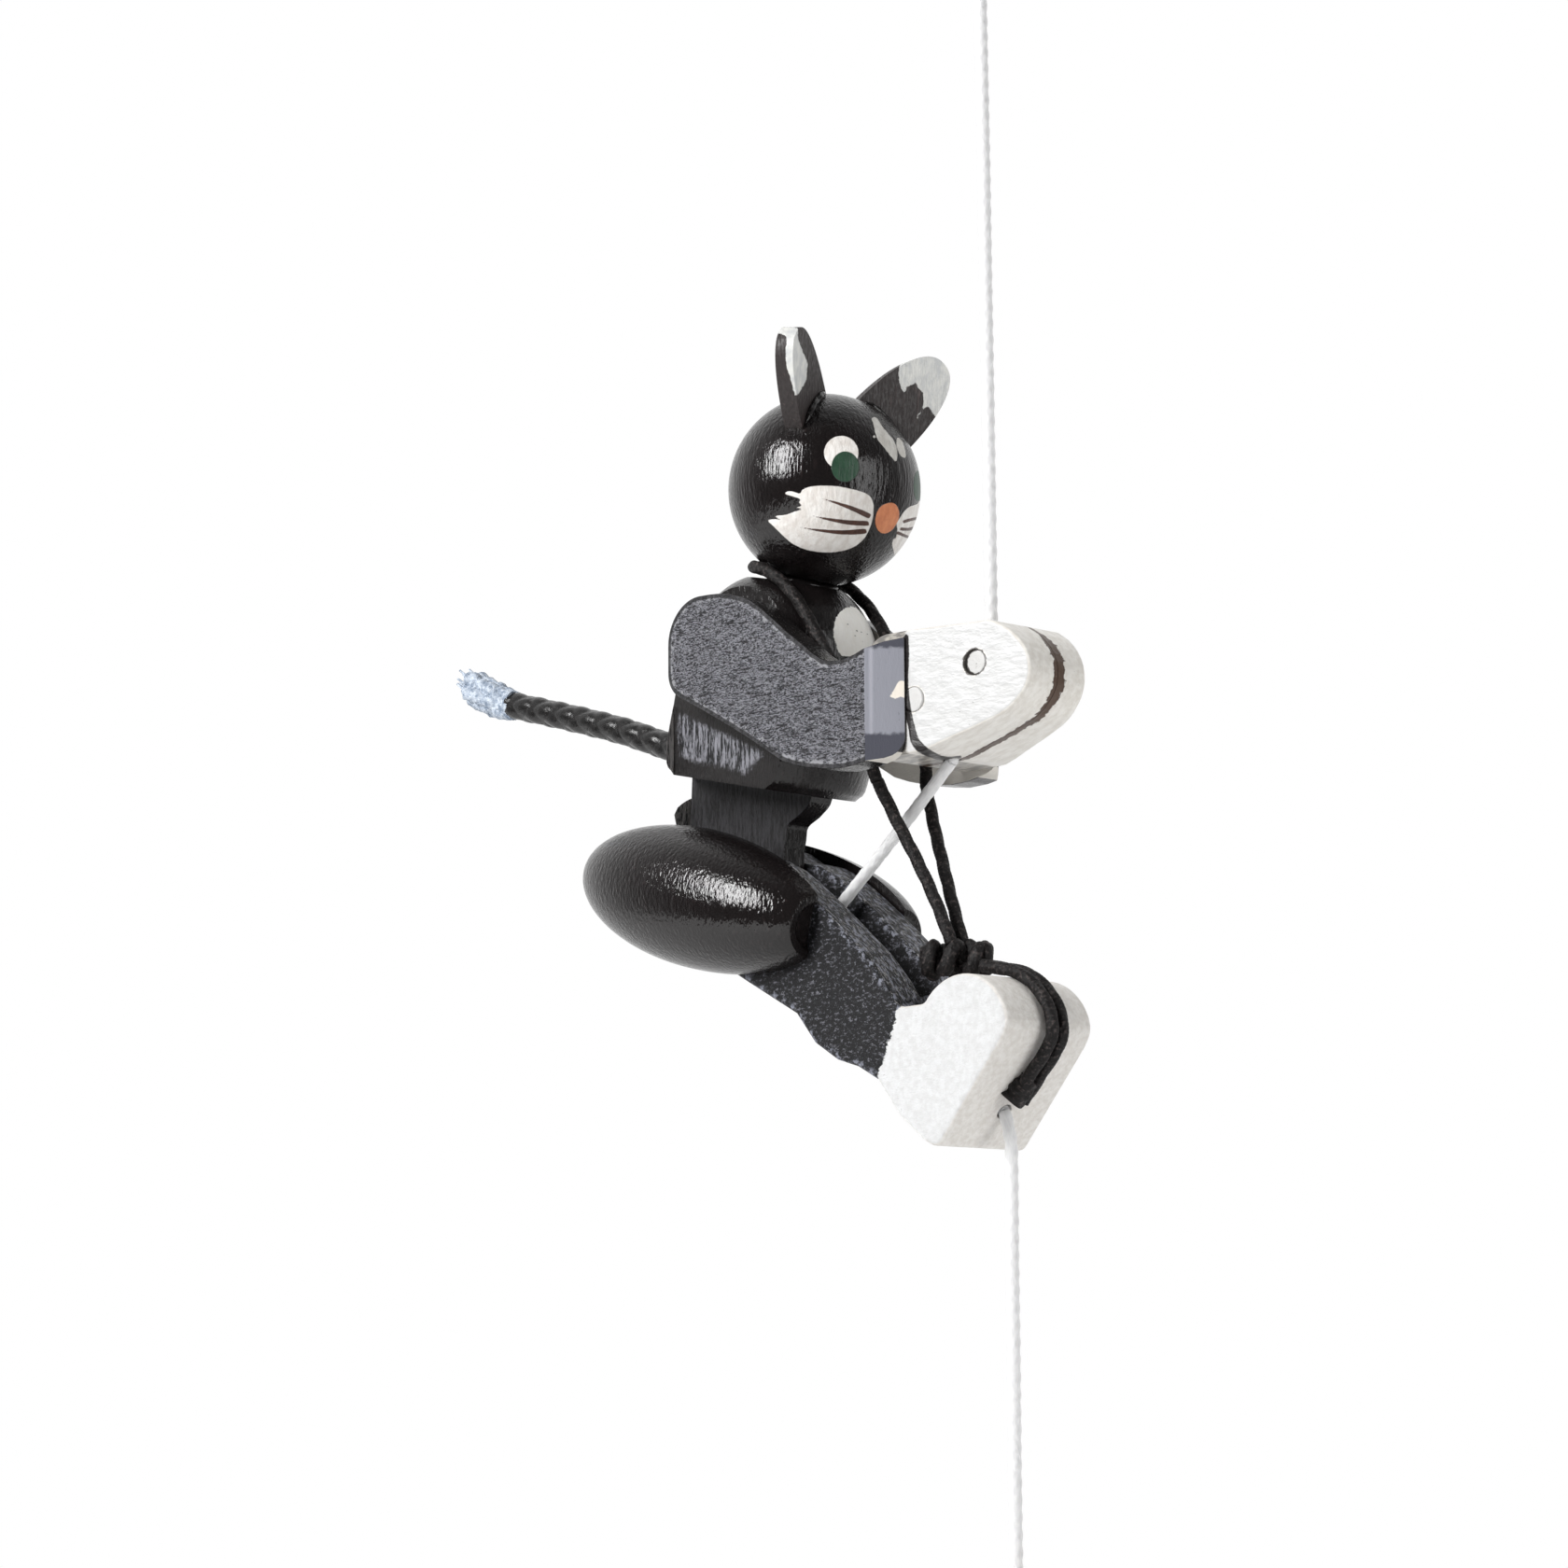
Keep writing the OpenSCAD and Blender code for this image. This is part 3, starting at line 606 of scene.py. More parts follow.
def worn_paint(name, dark, light, share, scale, roughness=0.5, relief=1.0):
    """Black paint that rubbed thin over coarse grain; share says how much of the pale wood filler shows."""
    paint = Paint(name, dark, roughness, Specular_IOR_Level=0.25)
    along = paint.places(scale=scale)
    mixed = paint.reckon("MULTIPLY_ADD", paint.grain(along, 5.5, 3.0, 0.6), 0.45, paint.grain(along, 1.5, 6.0, 0.68))
    paint.coat(paint.mottled(mixed, 0.98 - share, 1.12 - share, dark, light))
    paint.bump(mixed, relief, 0.22)
    return paint


# Torso: one turned alder bell with a waist groove. A flat is milled on each side for the arms and the
# foot of the bell is milled away to a tongue for the hip. Black gloss paint, worn on the milled faces.
torso_x, torso_lean = -48.0, math.radians(12.5)
belly_z, belly_r, dome_h, dome_power, top_z = 9.0, 16.2, 25.0, 2.6, 32.6
flats_half, tongue_half, mill_stop, pocket_stop = 10.0, 2.25, -58.0, -14.4
hip, hip_hole_d = (-49.6, -18.0), 4.1
bell = [(0, -9), (13.6, -9), (14.6, -8.4), (15.0, -7.4), (15.2, -6), (15.05, -4.8), (14.6, -3.4), (14.15, -2),
        (14.0, -0.9), (14.3, 0.2), (14.9, 0.9), (15.4, 1.3), (15.75, 2.0), (15.95, 3.1)]
for k in range(25):
    z = belly_z - 4 + (top_z - belly_z + 4) * math.sin(math.radians(90 * k / 24))
    bell.append((belly_r * (1 - (max(0, z - belly_z) / dome_h) ** dome_power) ** (1 / dome_power), z))
bell.append((0, top_z))
torso = turned("torso_turned", bell, in_cat(torso_x, 0, 0), torso_lean)
waste = box((0, -40, -80), (80, 40, 0))
waste.data.transform(Matrix.Translation(in_cat(torso_x, 0, 0)) @ Matrix.Rotation(torso_lean, 4, "Y")
                     @ Matrix.Translation(Vector((pocket_stop, 0, 0.3)) * MM - in_cat(0, 0, 0)))
worked(torso, waste)
worked(torso, sawn("tongue", arc(hip, 8.6, 20, -200, 40) + [
    (-61.7, -8.5), (-62.2, -5.6), (-62.3, -3), (-61.9, 4), (-36.1, 4), (-35.3, -2.6), (-35.7, -3.4), (-36.3, -4),
    (-38.1, -5.2), (-39.9, -6), (-40.5, -6.4), (-40.8, -6.9), (-41, -8.4), (-41.5, -10.4)],
    -tongue_half, tongue_half), "UNION")
for side, _ in SIDES:
    worked(torso, box((mill_stop, side * flats_half, -40), (0, side * 40, 60)))
worked(torso, cross_rod(hip, hip_hole_d))
eased(torso, 0.25)
diced(torso, 0.8)

warm_black = (0.008, 0.0065, 0.0065)
chest_patch = [(902, 654), (909, 650.5), (917, 651), (926, 661), (933, 671), (939, 680), (938, 700), (925, 702),
               (903, 703), (897, 694), (893.5, 682), (893.5, 670), (896.5, 661)]
flank_patch = [(728, 765), (745, 773), (772, 785), (796, 796), (817, 807), (806, 820), (799, 829), (776, 821),
               (742, 815), (730, 811), (727, 790)]
speck_places = zoomed(((0, 0), (34, 2), (30, 22), (47, 28), (66, 12), (26, 42), (40, 52), (70, 36), (52, 62)),
                      908.5, 669, 3.333)
brushed(torso, "cream", [rounded(chest_patch)])
brushed(torso, "flank", [flank_patch], both_sides=True, reach=40)
brushed(torso, "specks", [[(u + math.cos(k), v + math.sin(k)) for k in range(6)] for u, v in speck_places])
torso_paint = black_paint("black paint on the torso", warm_black, 0.2, 0.1, 1.0,
                          [("cream", (0.96, 0.95, 0.91), (0.92, 0.90, 0.85), 0.5, 0.25),
                           ("specks", (0.02, 0.018, 0.018), (0.02, 0.018, 0.018), 0.5, 0.1)])
flank_paint = worn_paint("worn flank", (0.005, 0.005, 0.006), (0.22, 0.22, 0.245), 0.32, (1.3, 1.3, 0.22), 0.42, 1.5)
# Painted shade: the worn grain shows only inside the flank patch, so the strip of the flat just under the arm stays
# black for the arm's shade.
flank_paint.coat(flank_paint.blend(flank_paint.mark("flank", 0.5, 1.0), warm_black, flank_paint.tone))
tongue_paint = worn_paint("tongue paint", (0.004, 0.0035, 0.004), (0.022, 0.021, 0.024), 0.34, (1.4, 1.4, 0.2))
wall_paint = worn_paint("stop wall paint", (0.03, 0.03, 0.03), (0.45, 0.43, 0.42), 0.36, (1, 1, 0.1), 0.3)
fitted(torso, torso_paint, "cat", "torso")
surfaced(torso, flank_paint, lambda n, c: abs(n.y) > 0.99 and abs(c.y) > flats_half - 0.1 and c.z < 20 - cat_drop)
surfaced(torso, tongue_paint, lambda n, c: abs(n.y) > 0.99 and abs(c.y) < tongue_half + 0.15)
surfaced(torso, wall_paint, lambda n, c: n.x > 0.95 and c.x < mill_stop + 0.3)

# Head: a turned 30 mm ball of the same wood on a hidden neck dowel, painted black gloss. The face is
# brushed on by hand: white cheeks with dark whiskers, round eyes, an orange nose and a blaze.
head_r, head_rise, neck_lean = 15.0, 15.5, math.radians(25.6)
neck_seat = (torso_x + top_z * math.sin(torso_lean), top_z * math.cos(torso_lean))
head_c = in_cat(neck_seat[0] + head_rise * math.sin(neck_lean), 0, neck_seat[1] + head_rise * math.cos(neck_lean))
picked()
bpy.ops.mesh.primitive_ico_sphere_add(subdivisions=7, radius=head_r * MM, location=head_c)
bpy.ops.object.transform_apply()
head = bpy.context.object
head.name = "head_ball"
bpy.ops.object.shade_smooth()


def on_head(points):
    return zoomed(points, 760, 340, 5)


cheek = rounded(on_head([
    (408, 940), (440, 932), (485, 945), (500, 925), (540, 908), (610, 902), (680, 905), (740, 915), (800, 930),
    (850, 950), (875, 985), (880, 1030), (872, 1090), (850, 1150), (820, 1195), (770, 1232), (710, 1252), (640, 1260),
    (570, 1255), (510, 1242), (450, 1215), (400, 1175), (350, 1125), (315, 1090), (345, 1082), (382, 1084), (352, 1066),
    (400, 1060), (430, 1052), (460, 1040), (500, 1030), (470, 1020), (495, 1010), (480, 990), (490, 975), (450, 960),
    (415, 950)]))
blaze = rounded(on_head([
    (870, 545), (885, 535), (905, 548), (930, 590), (965, 630), (990, 665), (1005, 720), (1005, 760), (995, 770),
    (970, 740), (930, 690), (900, 650), (885, 600), (878, 570)]))
blaze_tip = rounded(on_head([
    (1008, 645), (1030, 660), (1045, 700), (1052, 745), (1040, 752), (1020, 735), (1005, 700), (1003, 670)]))
far_cheek = rounded([
    (986, 536), (983, 539.8), (978.5, 541.5), (974.2, 543.2), (970, 546.6), (966.6, 550.8), (963.6, 555.9),
    (961, 559.5), (960.6, 563), (961.5, 567), (960.9, 572), (959.8, 576.3), (956.9, 578), (956, 583.9),
    (957.3, 589.8), (958.6, 595), (965, 606), (1000, 600), (1010, 545), (996, 534)])
nose = rounded([
    (953.9, 538.6), (959.8, 540.7), (963.2, 547.5), (963.2, 554.2), (961.5, 559.3), (957.3, 566.1), (952.2, 570.3),
    (946.3, 571.6), (941.2, 568.6), (938.2, 561.9), (938.1, 555.1), (940.3, 547.5), (945.4, 541.5)])
whiskers = [stroke(on_head(points), widths) for points, widths in (
    (((600, 970), (690, 997), (780, 1030), (850, 1062), (862, 1068)), (0.3, 2.8, 4.8, 5.6, 3.4)),
    (((555, 1064), (640, 1082), (740, 1098), (840, 1104), (855, 1104)), (0.3, 2.8, 4.8, 5.2, 3.2)),
    (((480, 1124), (590, 1141), (710, 1152), (820, 1147), (842, 1142)), (0.3, 2.6, 4.6, 5.6, 3.4)))]
whiskers += [stroke(points, (3.4, 3.2, 2.6)) for points in (
    ((967.6, 559.2), (975, 557), (986, 554.4)), ((964.4, 566.6), (974, 567), (984, 563.6)),
    ((961, 570.4), (967, 573), (977, 577)))]
brushed(head, "white", [cheek, far_cheek, on_head(oval(707, 725, 92, 90))], both_sides=True)
brushed(head, "blaze", [blaze, blaze_tip, on_head(oval(883, 640, 6, 8))])
brushed(head, "whiskers", whiskers, both_sides=True)
brushed(head, "green", [on_head(oval(728, 800, 75, 82)), oval(983.6, 520.6, 4.8, 16.6, 24)], both_sides=True)
brushed(head, "nose", [nose])
head_paint = black_paint("black paint on the head", warm_black, 0.13, 0.13, 1.0, [
    ("white", (0.78, 0.76, 0.73), (0.64, 0.60, 0.56), 0.4, 0.05),
    ("blaze", (0.68, 0.67, 0.63), (0.52, 0.50, 0.46), 0.45, 0.12),
    ("whiskers", (0.075, 0.030, 0.018), (0.045, 0.018, 0.012), 0.4, 0.05),
    ("green", (0.022, 0.060, 0.034), (0.016, 0.047, 0.027), 0.4, 0.03),
    ("nose", (0.66, 0.25, 0.11), (0.54, 0.18, 0.08), 0.38, 0.04)])
fitted(head, head_paint, "cat", "head")

# Ears: oval plates sawn from 3 mm board, the foot hollowed to the ball and glued on with a bead of black
# gloss. Thin brown-black paint, with a white dab brushed on each ear.
ear_half_w, ear_h, ear_t, ear_square, ear_foot = 5.6, 14.9, 2.9, 0.86, 11.5
ear_in, ear_back = -0.7, 0.8
ear_turn = (Matrix.Rotation(math.radians(21), 4, "Z") @ Matrix.Rotation(math.radians(8.6), 4, "Y")
            @ Matrix.Rotation(math.radians(43.4), 4, "X") @ Matrix.Rotation(math.radians(4), 4, "Z"))
near_dab = rounded(on_head([
    (365, 62), (415, 50), (470, 56), (474, 80), (476, 112), (500, 185), (525, 240), (524, 290), (518, 335), (495, 380),
    (470, 418), (458, 412), (445, 370), (428, 305), (412, 250), (410, 180), (414, 110), (390, 90), (368, 86)]))
far_dab = rounded(on_head([
    (1130, 200), (1055, 222), (1018, 265), (1018, 345), (1045, 405), (1058, 372), (1080, 366), (1110, 348), (1118, 380),
    (1142, 402), (1147, 470), (1112, 530), (1112, 545), (1140, 500), (1150, 488), (1175, 482), (1205, 525),
    (1240, 535), (1300, 420), (1310, 250), (1250, 190)]))
ear_paint = black_paint("brown-black ear paint", (0.021, 0.0155, 0.015), 0.5, 0.12, 1.0,
                        [("dab", (0.66, 0.66, 0.63), (0.50, 0.51, 0.51), 0.5, 0.22)])
for (side, name), dab, lower_by in zip(SIDES, (near_dab, far_dab), (0.5, -0.1)):
    plate = [(ear_half_w * math.copysign(abs(math.cos(math.radians(a))) ** ear_square, math.cos(math.radians(a))),
              13.8 + (ear_h - lower_by) * math.sin(math.radians(a)) ** ear_square) for a in range(0, 181, 5)]
    ear = thickened(outlined("ear_" + name + "_plate",
                             [(-ear_half_w, ear_foot)] + plate[::-1] + [(ear_half_w, ear_foot)], True), ear_t)
    ear.data.transform(Matrix.Rotation(math.radians(90), 4, "Z") @ Matrix.Translation((0, -ear_t / 2 * MM, 0)))
    ear.data.transform(Matrix.Translation(head_c) @ ear_turn
                       @ Matrix.Translation(Vector((ear_in, ear_back, 0)) * MM))
    picked()
    bpy.ops.mesh.primitive_uv_sphere_add(segments=96, ring_count=64, radius=(head_r - 0.05) * MM, location=head_c)
    worked(ear, bpy.context.object)
    if side > 0:
        ear.data.transform(Matrix.Scale(-1, 4, (0, 1, 0)))
        ear.data.flip_normals()
    eased(ear, 0.3)
    diced(ear, 0.4)
    brushed(ear, "dab", [dab], reach=30)
    fitted(ear, ear_paint, "cat", "ear_" + name)

# The glue beads: black gloss that was brushed into the corner between each ear's front and the head.
bead_gloss = black_paint("glue bead gloss", (0.006, 0.005, 0.005), 0.12, 0.8, 0.5)
glue_len, glue_d, glue_r = 9.2, 1.15, head_r + 0.2
for side, name in SIDES:
    route = []
    for k in range(15):
        w = -glue_len / 2 + glue_len * k / 14
        foot = ear_turn @ Vector(((ear_t / 2 + ear_in) + 0.25, w + ear_back, math.sqrt(glue_r**2 - w**2 - 1.2))) * MM
        route.append(head_c + Vector((foot.x, -side * foot.y, foot.z)))

    def lumps(angle, along):
        end = min(along, glue_len + 0.4 - along)
        return max(0.12, min(1, end / 1.5)) * (1 + 0.35 * noise.noise(Vector((along * 0.8, angle, side * 3))))

    glue, _ = cord_tube("ear_glue_" + name, through(route), glue_d, lumps, sides=12)
    fitted(glue, bead_gloss, "cat")


def boarded(name, dark, light, edge_line, fleck_share, roughness, relief):
    """Matt paint rubbed thin along rough grain that runs along X: dark lines in it, a dark line round the
    edge of the face, and pale flecks where the edge was rubbed through."""
    paint = Paint(name, dark, roughness, Specular_IOR_Level=0.35)
    along = paint.places(scale=(0.34, 1, 1))
    mixed = paint.reckon("MULTIPLY_ADD", paint.grain(along, 11.0, 2.0, 0.6), 0.5, paint.grain(along, 5.5, 4.0, 0.7))
    tone = paint.mottled(mixed, 0.665, 0.835, dark, light)
    lines = paint.grain(paint.places(scale=(0.12, 1, 1)), 3.0, 4.0, 0.6)
    tone = paint.blend(paint.between(lines, 0.56, 0.60, 0, 0.85), tone, tuple(part / 3 for part in dark))
    rim = paint.attribute("rim")
    near_edge = paint.between(rim, 0.5, 2.4, 1, 0)
    chips = paint.reckon("MULTIPLY_ADD", near_edge, 0.17, paint.grain(paint.places(), 1.25, 5.0, 0.75))
    fleck = paint.between(chips, 0.76 - fleck_share, 0.82 - fleck_share)
    tone = paint.blend(paint.reckon("MULTIPLY", fleck, near_edge), tone, (0.50, 0.50, 0.53))
    wander = paint.reckon("MULTIPLY_ADD", paint.grain(paint.places(), 0.9, 3.0), -0.35, rim)
    edge = paint.between(wander, edge_line - 0.2, edge_line - 0.08, 1, 0)
    paint.coat(paint.blend(paint.reckon("MULTIPLY", edge, 0.85), tone, (0.014, 0.013, 0.014)))
    paint.bump(mixed, relief, 0.25)
    return paint


# Arms: two flat boards glued to the torso's flats. The outer corner at the hand is bevelled at 45 degrees.
# Blue-grey paint worn along the grain, with rubbed edges.
shoulder, shoulder_r, heel, heel_r = (-47.4, 21.9), 7.0, (-49.9, 17.6), 4.5
arm_t, arm_gap, bevel_from = 4.6, 0.02, -7.45
arm_outline = arc(heel, heel_r, 240, 180, 12) + arc(shoulder, shoulder_r, 180, 90, 24) + [
    (-45.2, 28.85), (-43, 28.7), (-41.3, 28.35), (-39.6, 27.9), (-36.4, 26.8), (-34.2, 25.4), (-31.5, 23.3),
    (-28.3, 20.7), (-25.1, 18.4), (-23.2, 16.9), (-21.6, 15.9), (-20.5, 15.3), (-19.3, 15), (-17.4, 14.85), (-15.6, 15),
    (-13.8, 15.4), (-12, 16), (-9.9, 17), (-7.8, 17.6), (-7.8, 2.6), (-7.9, 1.8), (-8.2, 1), (-8.6, 0.35), (-9.2, -0.2),
    (-10.2, -0.65), (-11.5, -0.9), (-14, -1.35), (-17.6, -1.5), (-21, -1.1), (-24, -0.6), (-26.4, 0), (-29.4, 1),
    (-32.9, 3.1), (-37.2, 5.7), (-42.8, 8.8), (-46.7, 10.9)]
splash = [(953, 746), (957, 741), (962, 731), (966, 728), (970, 731), (971, 748), (965, 746), (959, 749)]
# A painted highlight: a pale line down the outer edge of the near arm's bevel.
edge_highlight = [(931, 692), (935, 692), (935, 786), (931, 788)]

arm_paint = boarded("arm paint", (0.009, 0.009, 0.012), (0.36, 0.362, 0.40), 0.62, 0.10, 0.42, 1.6)
paint = bevel_paint = worn_paint("bevel paint", (0.13, 0.13, 0.155), (0.26, 0.265, 0.30), 0.52, (1, 1, 0.25), 0.25, 0.4)
# Painted shade and highlight on the bevel: dark strips along its top and bottom stand for the shade where its edges
# round over, and the pale line for the highlight on its outer edge.
waver = paint.reckon("MULTIPLY_ADD", paint.grain(paint.places(), 0.8, 3.0), 1.6, paint.apart(paint.places())[2])
ends = paint.reckon("MAXIMUM", paint.between(waver, 3.6 - cat_drop, 4.2 - cat_drop, 1, 0),
                    paint.between(waver, 16.6 - cat_drop, 17.2 - cat_drop))
tone = paint.blend(paint.reckon("MULTIPLY", ends, 0.8), paint.tone, (0.030, 0.031, 0.045))
tone = paint.blend(paint.reckon("MULTIPLY", paint.mark("edge_highlight", 0.25), 0.45), tone, (0.45, 0.45, 0.50))
paint.coat(paint.blend(paint.mark("splash", 0.07, 0.15), tone, (0.80, 0.74, 0.66)))
top_paint = worn_paint("arm top paint", (0.05, 0.05, 0.055), (0.42, 0.41, 0.40), 0.34, (0.16, 1, 1), 0.45)
inner_paint = worn_paint("arm inner face", (0.10, 0.10, 0.12), (0.66, 0.63, 0.58), 0.62, (0.3, 0.8, 0.8), 0.6)
rim_paint = black_paint("black paint on the arms' edges", (0.010, 0.009, 0.009), 0.22, 1.0, 0.8)
for side, name in SIDES:
    arm = sawn("arm_" + name + "_board", arm_outline, side * (flats_half + arm_gap), side * (flats_half + arm_t))
    worked(arm, tilted(box((bevel_from, 0, -40), (60, 80, 60)), bevel_from, side * flats_half,
                       math.radians(45 if side > 0 else -135)))
    eased(arm, 0.3)
    diced(arm, 0.5)
    rimmed(arm, arm_outline)
    brushed(arm, "splash", [splash])
    brushed(arm, "edge_highlight", [edge_highlight])
    fitted(arm, arm_paint, "cat", "arm_" + name)
    surfaced(arm, rim_paint, lambda n, c: abs(n.y) < 0.8)
    surfaced(arm, bevel_paint, lambda n, c: n.x > 0.5 and abs(n.y) > 0.4 and c.x > -13)
    surfaced(arm, top_paint, lambda n, c: abs(n.y) < 0.3 and n.z > 0.2 and c.x > -14)
    surfaced(arm, inner_paint, lambda n, c: (n.y * side < -0.9 or n.z < -0.6 and c.x > -12) and c.x > -34)

# Hands: one block sawn down its middle, rounded all over, and glued round the string in two halves with
# brown glue. White gloss paint, thin over the ends of the dowels and black where it meets the arms.
hand_outline = [(-15.6, 1.3), (-15.1, 0.45), (-14.1, 0), (-10, 0.05), (-5.6, 0.2), (-3.2, 0.75), (-0.8, 1.5), (4, 2.9),
                (8.1, 4.25), (9.4, 4.9), (10.6, 5.7), (12.2, 7.3), (12.8, 8.2), (13.2, 9.2), (13.4, 10.2),
                (13.4, 11.2), (13.2, 12.5), (12.7, 13.7), (11.9, 14.9), (11, 15.9), (9.9, 16.9), (8.6, 17.7),
                (7.6, 18.3), (6.4, 18.7), (-12.1, 18.7), (-13.3, 18.5), (-14.3, 18), (-15.1, 17.5), (-15.6, 16.8)]
front_dowel, rear_dowel, dowel_d, dowel_hole_d = (4.1, 12.6), (-6.5, 8.1), 3.8, 3.9
taper_from, taper = -7, math.atan2(4, 21.7)
joint_line = stroke(zoomed([(302, 165), (303, 230), (302, 300), (304, 350), (305, 400), (312, 450), (323, 500),
                            (334, 545), (356, 572), (388, 592), (425, 606), (460, 609), (500, 602)], 880, 630, 3.333),
                    (5.0, 6.2, 5.4, 4.2, 6.4, 7.0, 7.4, 9.2, 10, 7.6, 5.4, 4.0, 3.0))
block = sawn("hand_block", hand_outline, -flats_half, flats_half)
for side, _ in SIDES:
    worked(block, tilted(box((-20, 0, -40), (60, side * 40, 60)), taper_from, side * flats_half, -side * taper))
eased(block, 1.6, 6)
hands = []
for side, name in SIDES:
    half = block.copy()
    half.data = block.data.copy()
    half.name = "hand_" + name + "_half"
    bpy.context.collection.objects.link(half)
    picked(half)
    bpy.ops.object.mode_set(mode="EDIT")
    bpy.ops.mesh.select_all(action="SELECT")
    bpy.ops.mesh.bisect(plane_co=(0, side * 0.05 * MM, 0), plane_no=(0, side, 0), use_fill=True, clear_inner=True)
    bpy.ops.object.mode_set(mode="OBJECT")
    for place in (front_dowel, rear_dowel):
        worked(half, cross_rod(place, dowel_hole_d))
    groove, _ = cord_tube("groove", through([in_cat(0.5, 0, 21)] + hand_route + [in_cat(-9.5, 0, -2.5)]),
                          string_hole_d, lambda angle, along: 1, sides=16, step=0.5)
    worked(half, groove)
    bpy.ops.object.shade_smooth_by_angle(angle=math.radians(35))
    diced(half, 0.5)
    brushed(half, "joint", [joint_line], both_sides=True)
    marked(half, "side", lambda p, n: abs(n.y))
    hands.append(half)
bpy.data.objects.remove(block)


def dowel_ring(paint, inner, outer, lean, strength):
    """A dark ragged ring round the end of the front dowel. Its lean widens it on the rear side, as painted shade where
    the dowel's end sits a little below the face.
    """
    centred = paint.places(scale=(1, 0, 1), centre=(front_dowel[0], 0, front_dowel[1] - cat_drop))
    away = add_node(paint.tree, "VectorMath", {"operation": "LENGTH"}, i0=centred).outputs["Value"]
    torn = paint.grain(paint.places(), 1.5, 3.0, 0.7)
    ragged = paint.reckon("MULTIPLY_ADD", torn, 0.7, paint.reckon("SUBTRACT", away, 0.35))
    leaning = paint.reckon("MULTIPLY_ADD", paint.apart(centred)[0], -lean, ragged)
    ring = paint.reckon("MULTIPLY", paint.between(leaning, inner - 0.1, inner),
                        paint.between(ragged, outer - 0.1, outer, 1, 0))
    return paint.reckon("MULTIPLY", ring, strength)


joint_black, seam_y = (0.012, 0.010, 0.010), 0.45
paint = white_paint = Paint("white paint", (0.84, 0.83, 0.81), 0.3, Specular_IOR_Level=0.35)
at = paint.places()
x, y, z = paint.apart(at)
cloth = paint.grain(paint.places(scale=(0.4, 1, 1)), 0.9, 4.0, 0.6)
# Painted light and shade: faces that turn squarely to the sides, like the brightly lit near face, get a darker white,
# and the faces turned away from the sides a warm beige.
lit_face_white = paint.mottled(cloth, 0.3, 0.7, (0.49, 0.49, 0.485), (0.55, 0.55, 0.55))
shaded_face_beige = paint.mottled(cloth, 0.3, 0.7, (0.64, 0.61, 0.56), (0.76, 0.74, 0.70))
rubbed_and_shaded = paint.mottled(cloth, 0.42, 0.62, (0.16, 0.15, 0.14), (0.42, 0.395, 0.35))
tone = paint.mottled(paint.attribute("side"), 0.75, 0.965, shaded_face_beige, lit_face_white)
# Painted shade: behind the arms' ends, where the block sits between the arm boards, the white turns to a dull
# beige-grey.
tone = paint.blend(paint.between(x, -8.2, -7.4, 0.95, 0), tone, rubbed_and_shaded)
seam_half = paint.reckon("MINIMUM", paint.between(z, -133, -124, 0.80, 1.30),
                         paint.between(z, -119, -116.5, 1.30, 0.45))
seam_half = paint.reckon("MULTIPLY", seam_half, paint.between(paint.grain(at, 1.1, 4.0, 0.7), 0.3, 0.7, 0.6, 1.25))
off_seam = paint.reckon("ABSOLUTE", paint.reckon("SUBTRACT", y, seam_y))
seam = paint.between(paint.reckon("SUBTRACT", off_seam, seam_half), -0.06, 0.1, 1, 0)
tone = paint.blend(seam, tone, (0.075, 0.045, 0.030))
tone = paint.blend(dowel_ring(paint, 1.7, 2.12, 0.0, 0.9), tone, (0.045, 0.038, 0.034))
tone = paint.blend(paint.mark("joint", 0.08, 0.12), tone, joint_black)
paint.coat(paint.mottled(paint.grain(at, 2.3, 2.0, 0.4), 0.76, 0.80, tone, (0.05, 0.045, 0.04)))
paint.bump(paint.reckon("MULTIPLY_ADD", seam, -0.7, cloth), 0.6, 0.25)
for hand, (_, name) in zip(hands, SIDES):
    fitted(hand, white_paint, "cat", "hand_" + name)

paint = dowel_paint = Paint("white paint on the dowels", (0.82, 0.80, 0.77), 0.35)
thin = paint.grain(paint.places(), 1.2, 5.0, 0.7)
tone = paint.mottled(thin, 0.62, 0.70, (0.52, 0.515, 0.505), (0.10, 0.085, 0.075))
tone = paint.blend(dowel_ring(paint, 1.72, 2.6, 0.16, 0.95), tone, (0.030, 0.025, 0.023))
paint.coat(paint.blend(paint.mark("joint", 0.08, 0.12), tone, joint_black))
paint.bump(thin, 0.6, 0.25)
for place, reach, name in ((front_dowel, 7.78, "front"), (rear_dowel, 10.0, "rear")):
    dowel = cross_rod(place, dowel_d, reach)
    dowel.name = "hand_dowel_" + name + "_rod"
    eased(dowel, 0.25)
    diced(dowel, 0.5)
    brushed(dowel, "joint", [joint_line], both_sides=True)
    fitted(dowel, dowel_paint, "cat", "hand_dowel_" + name)

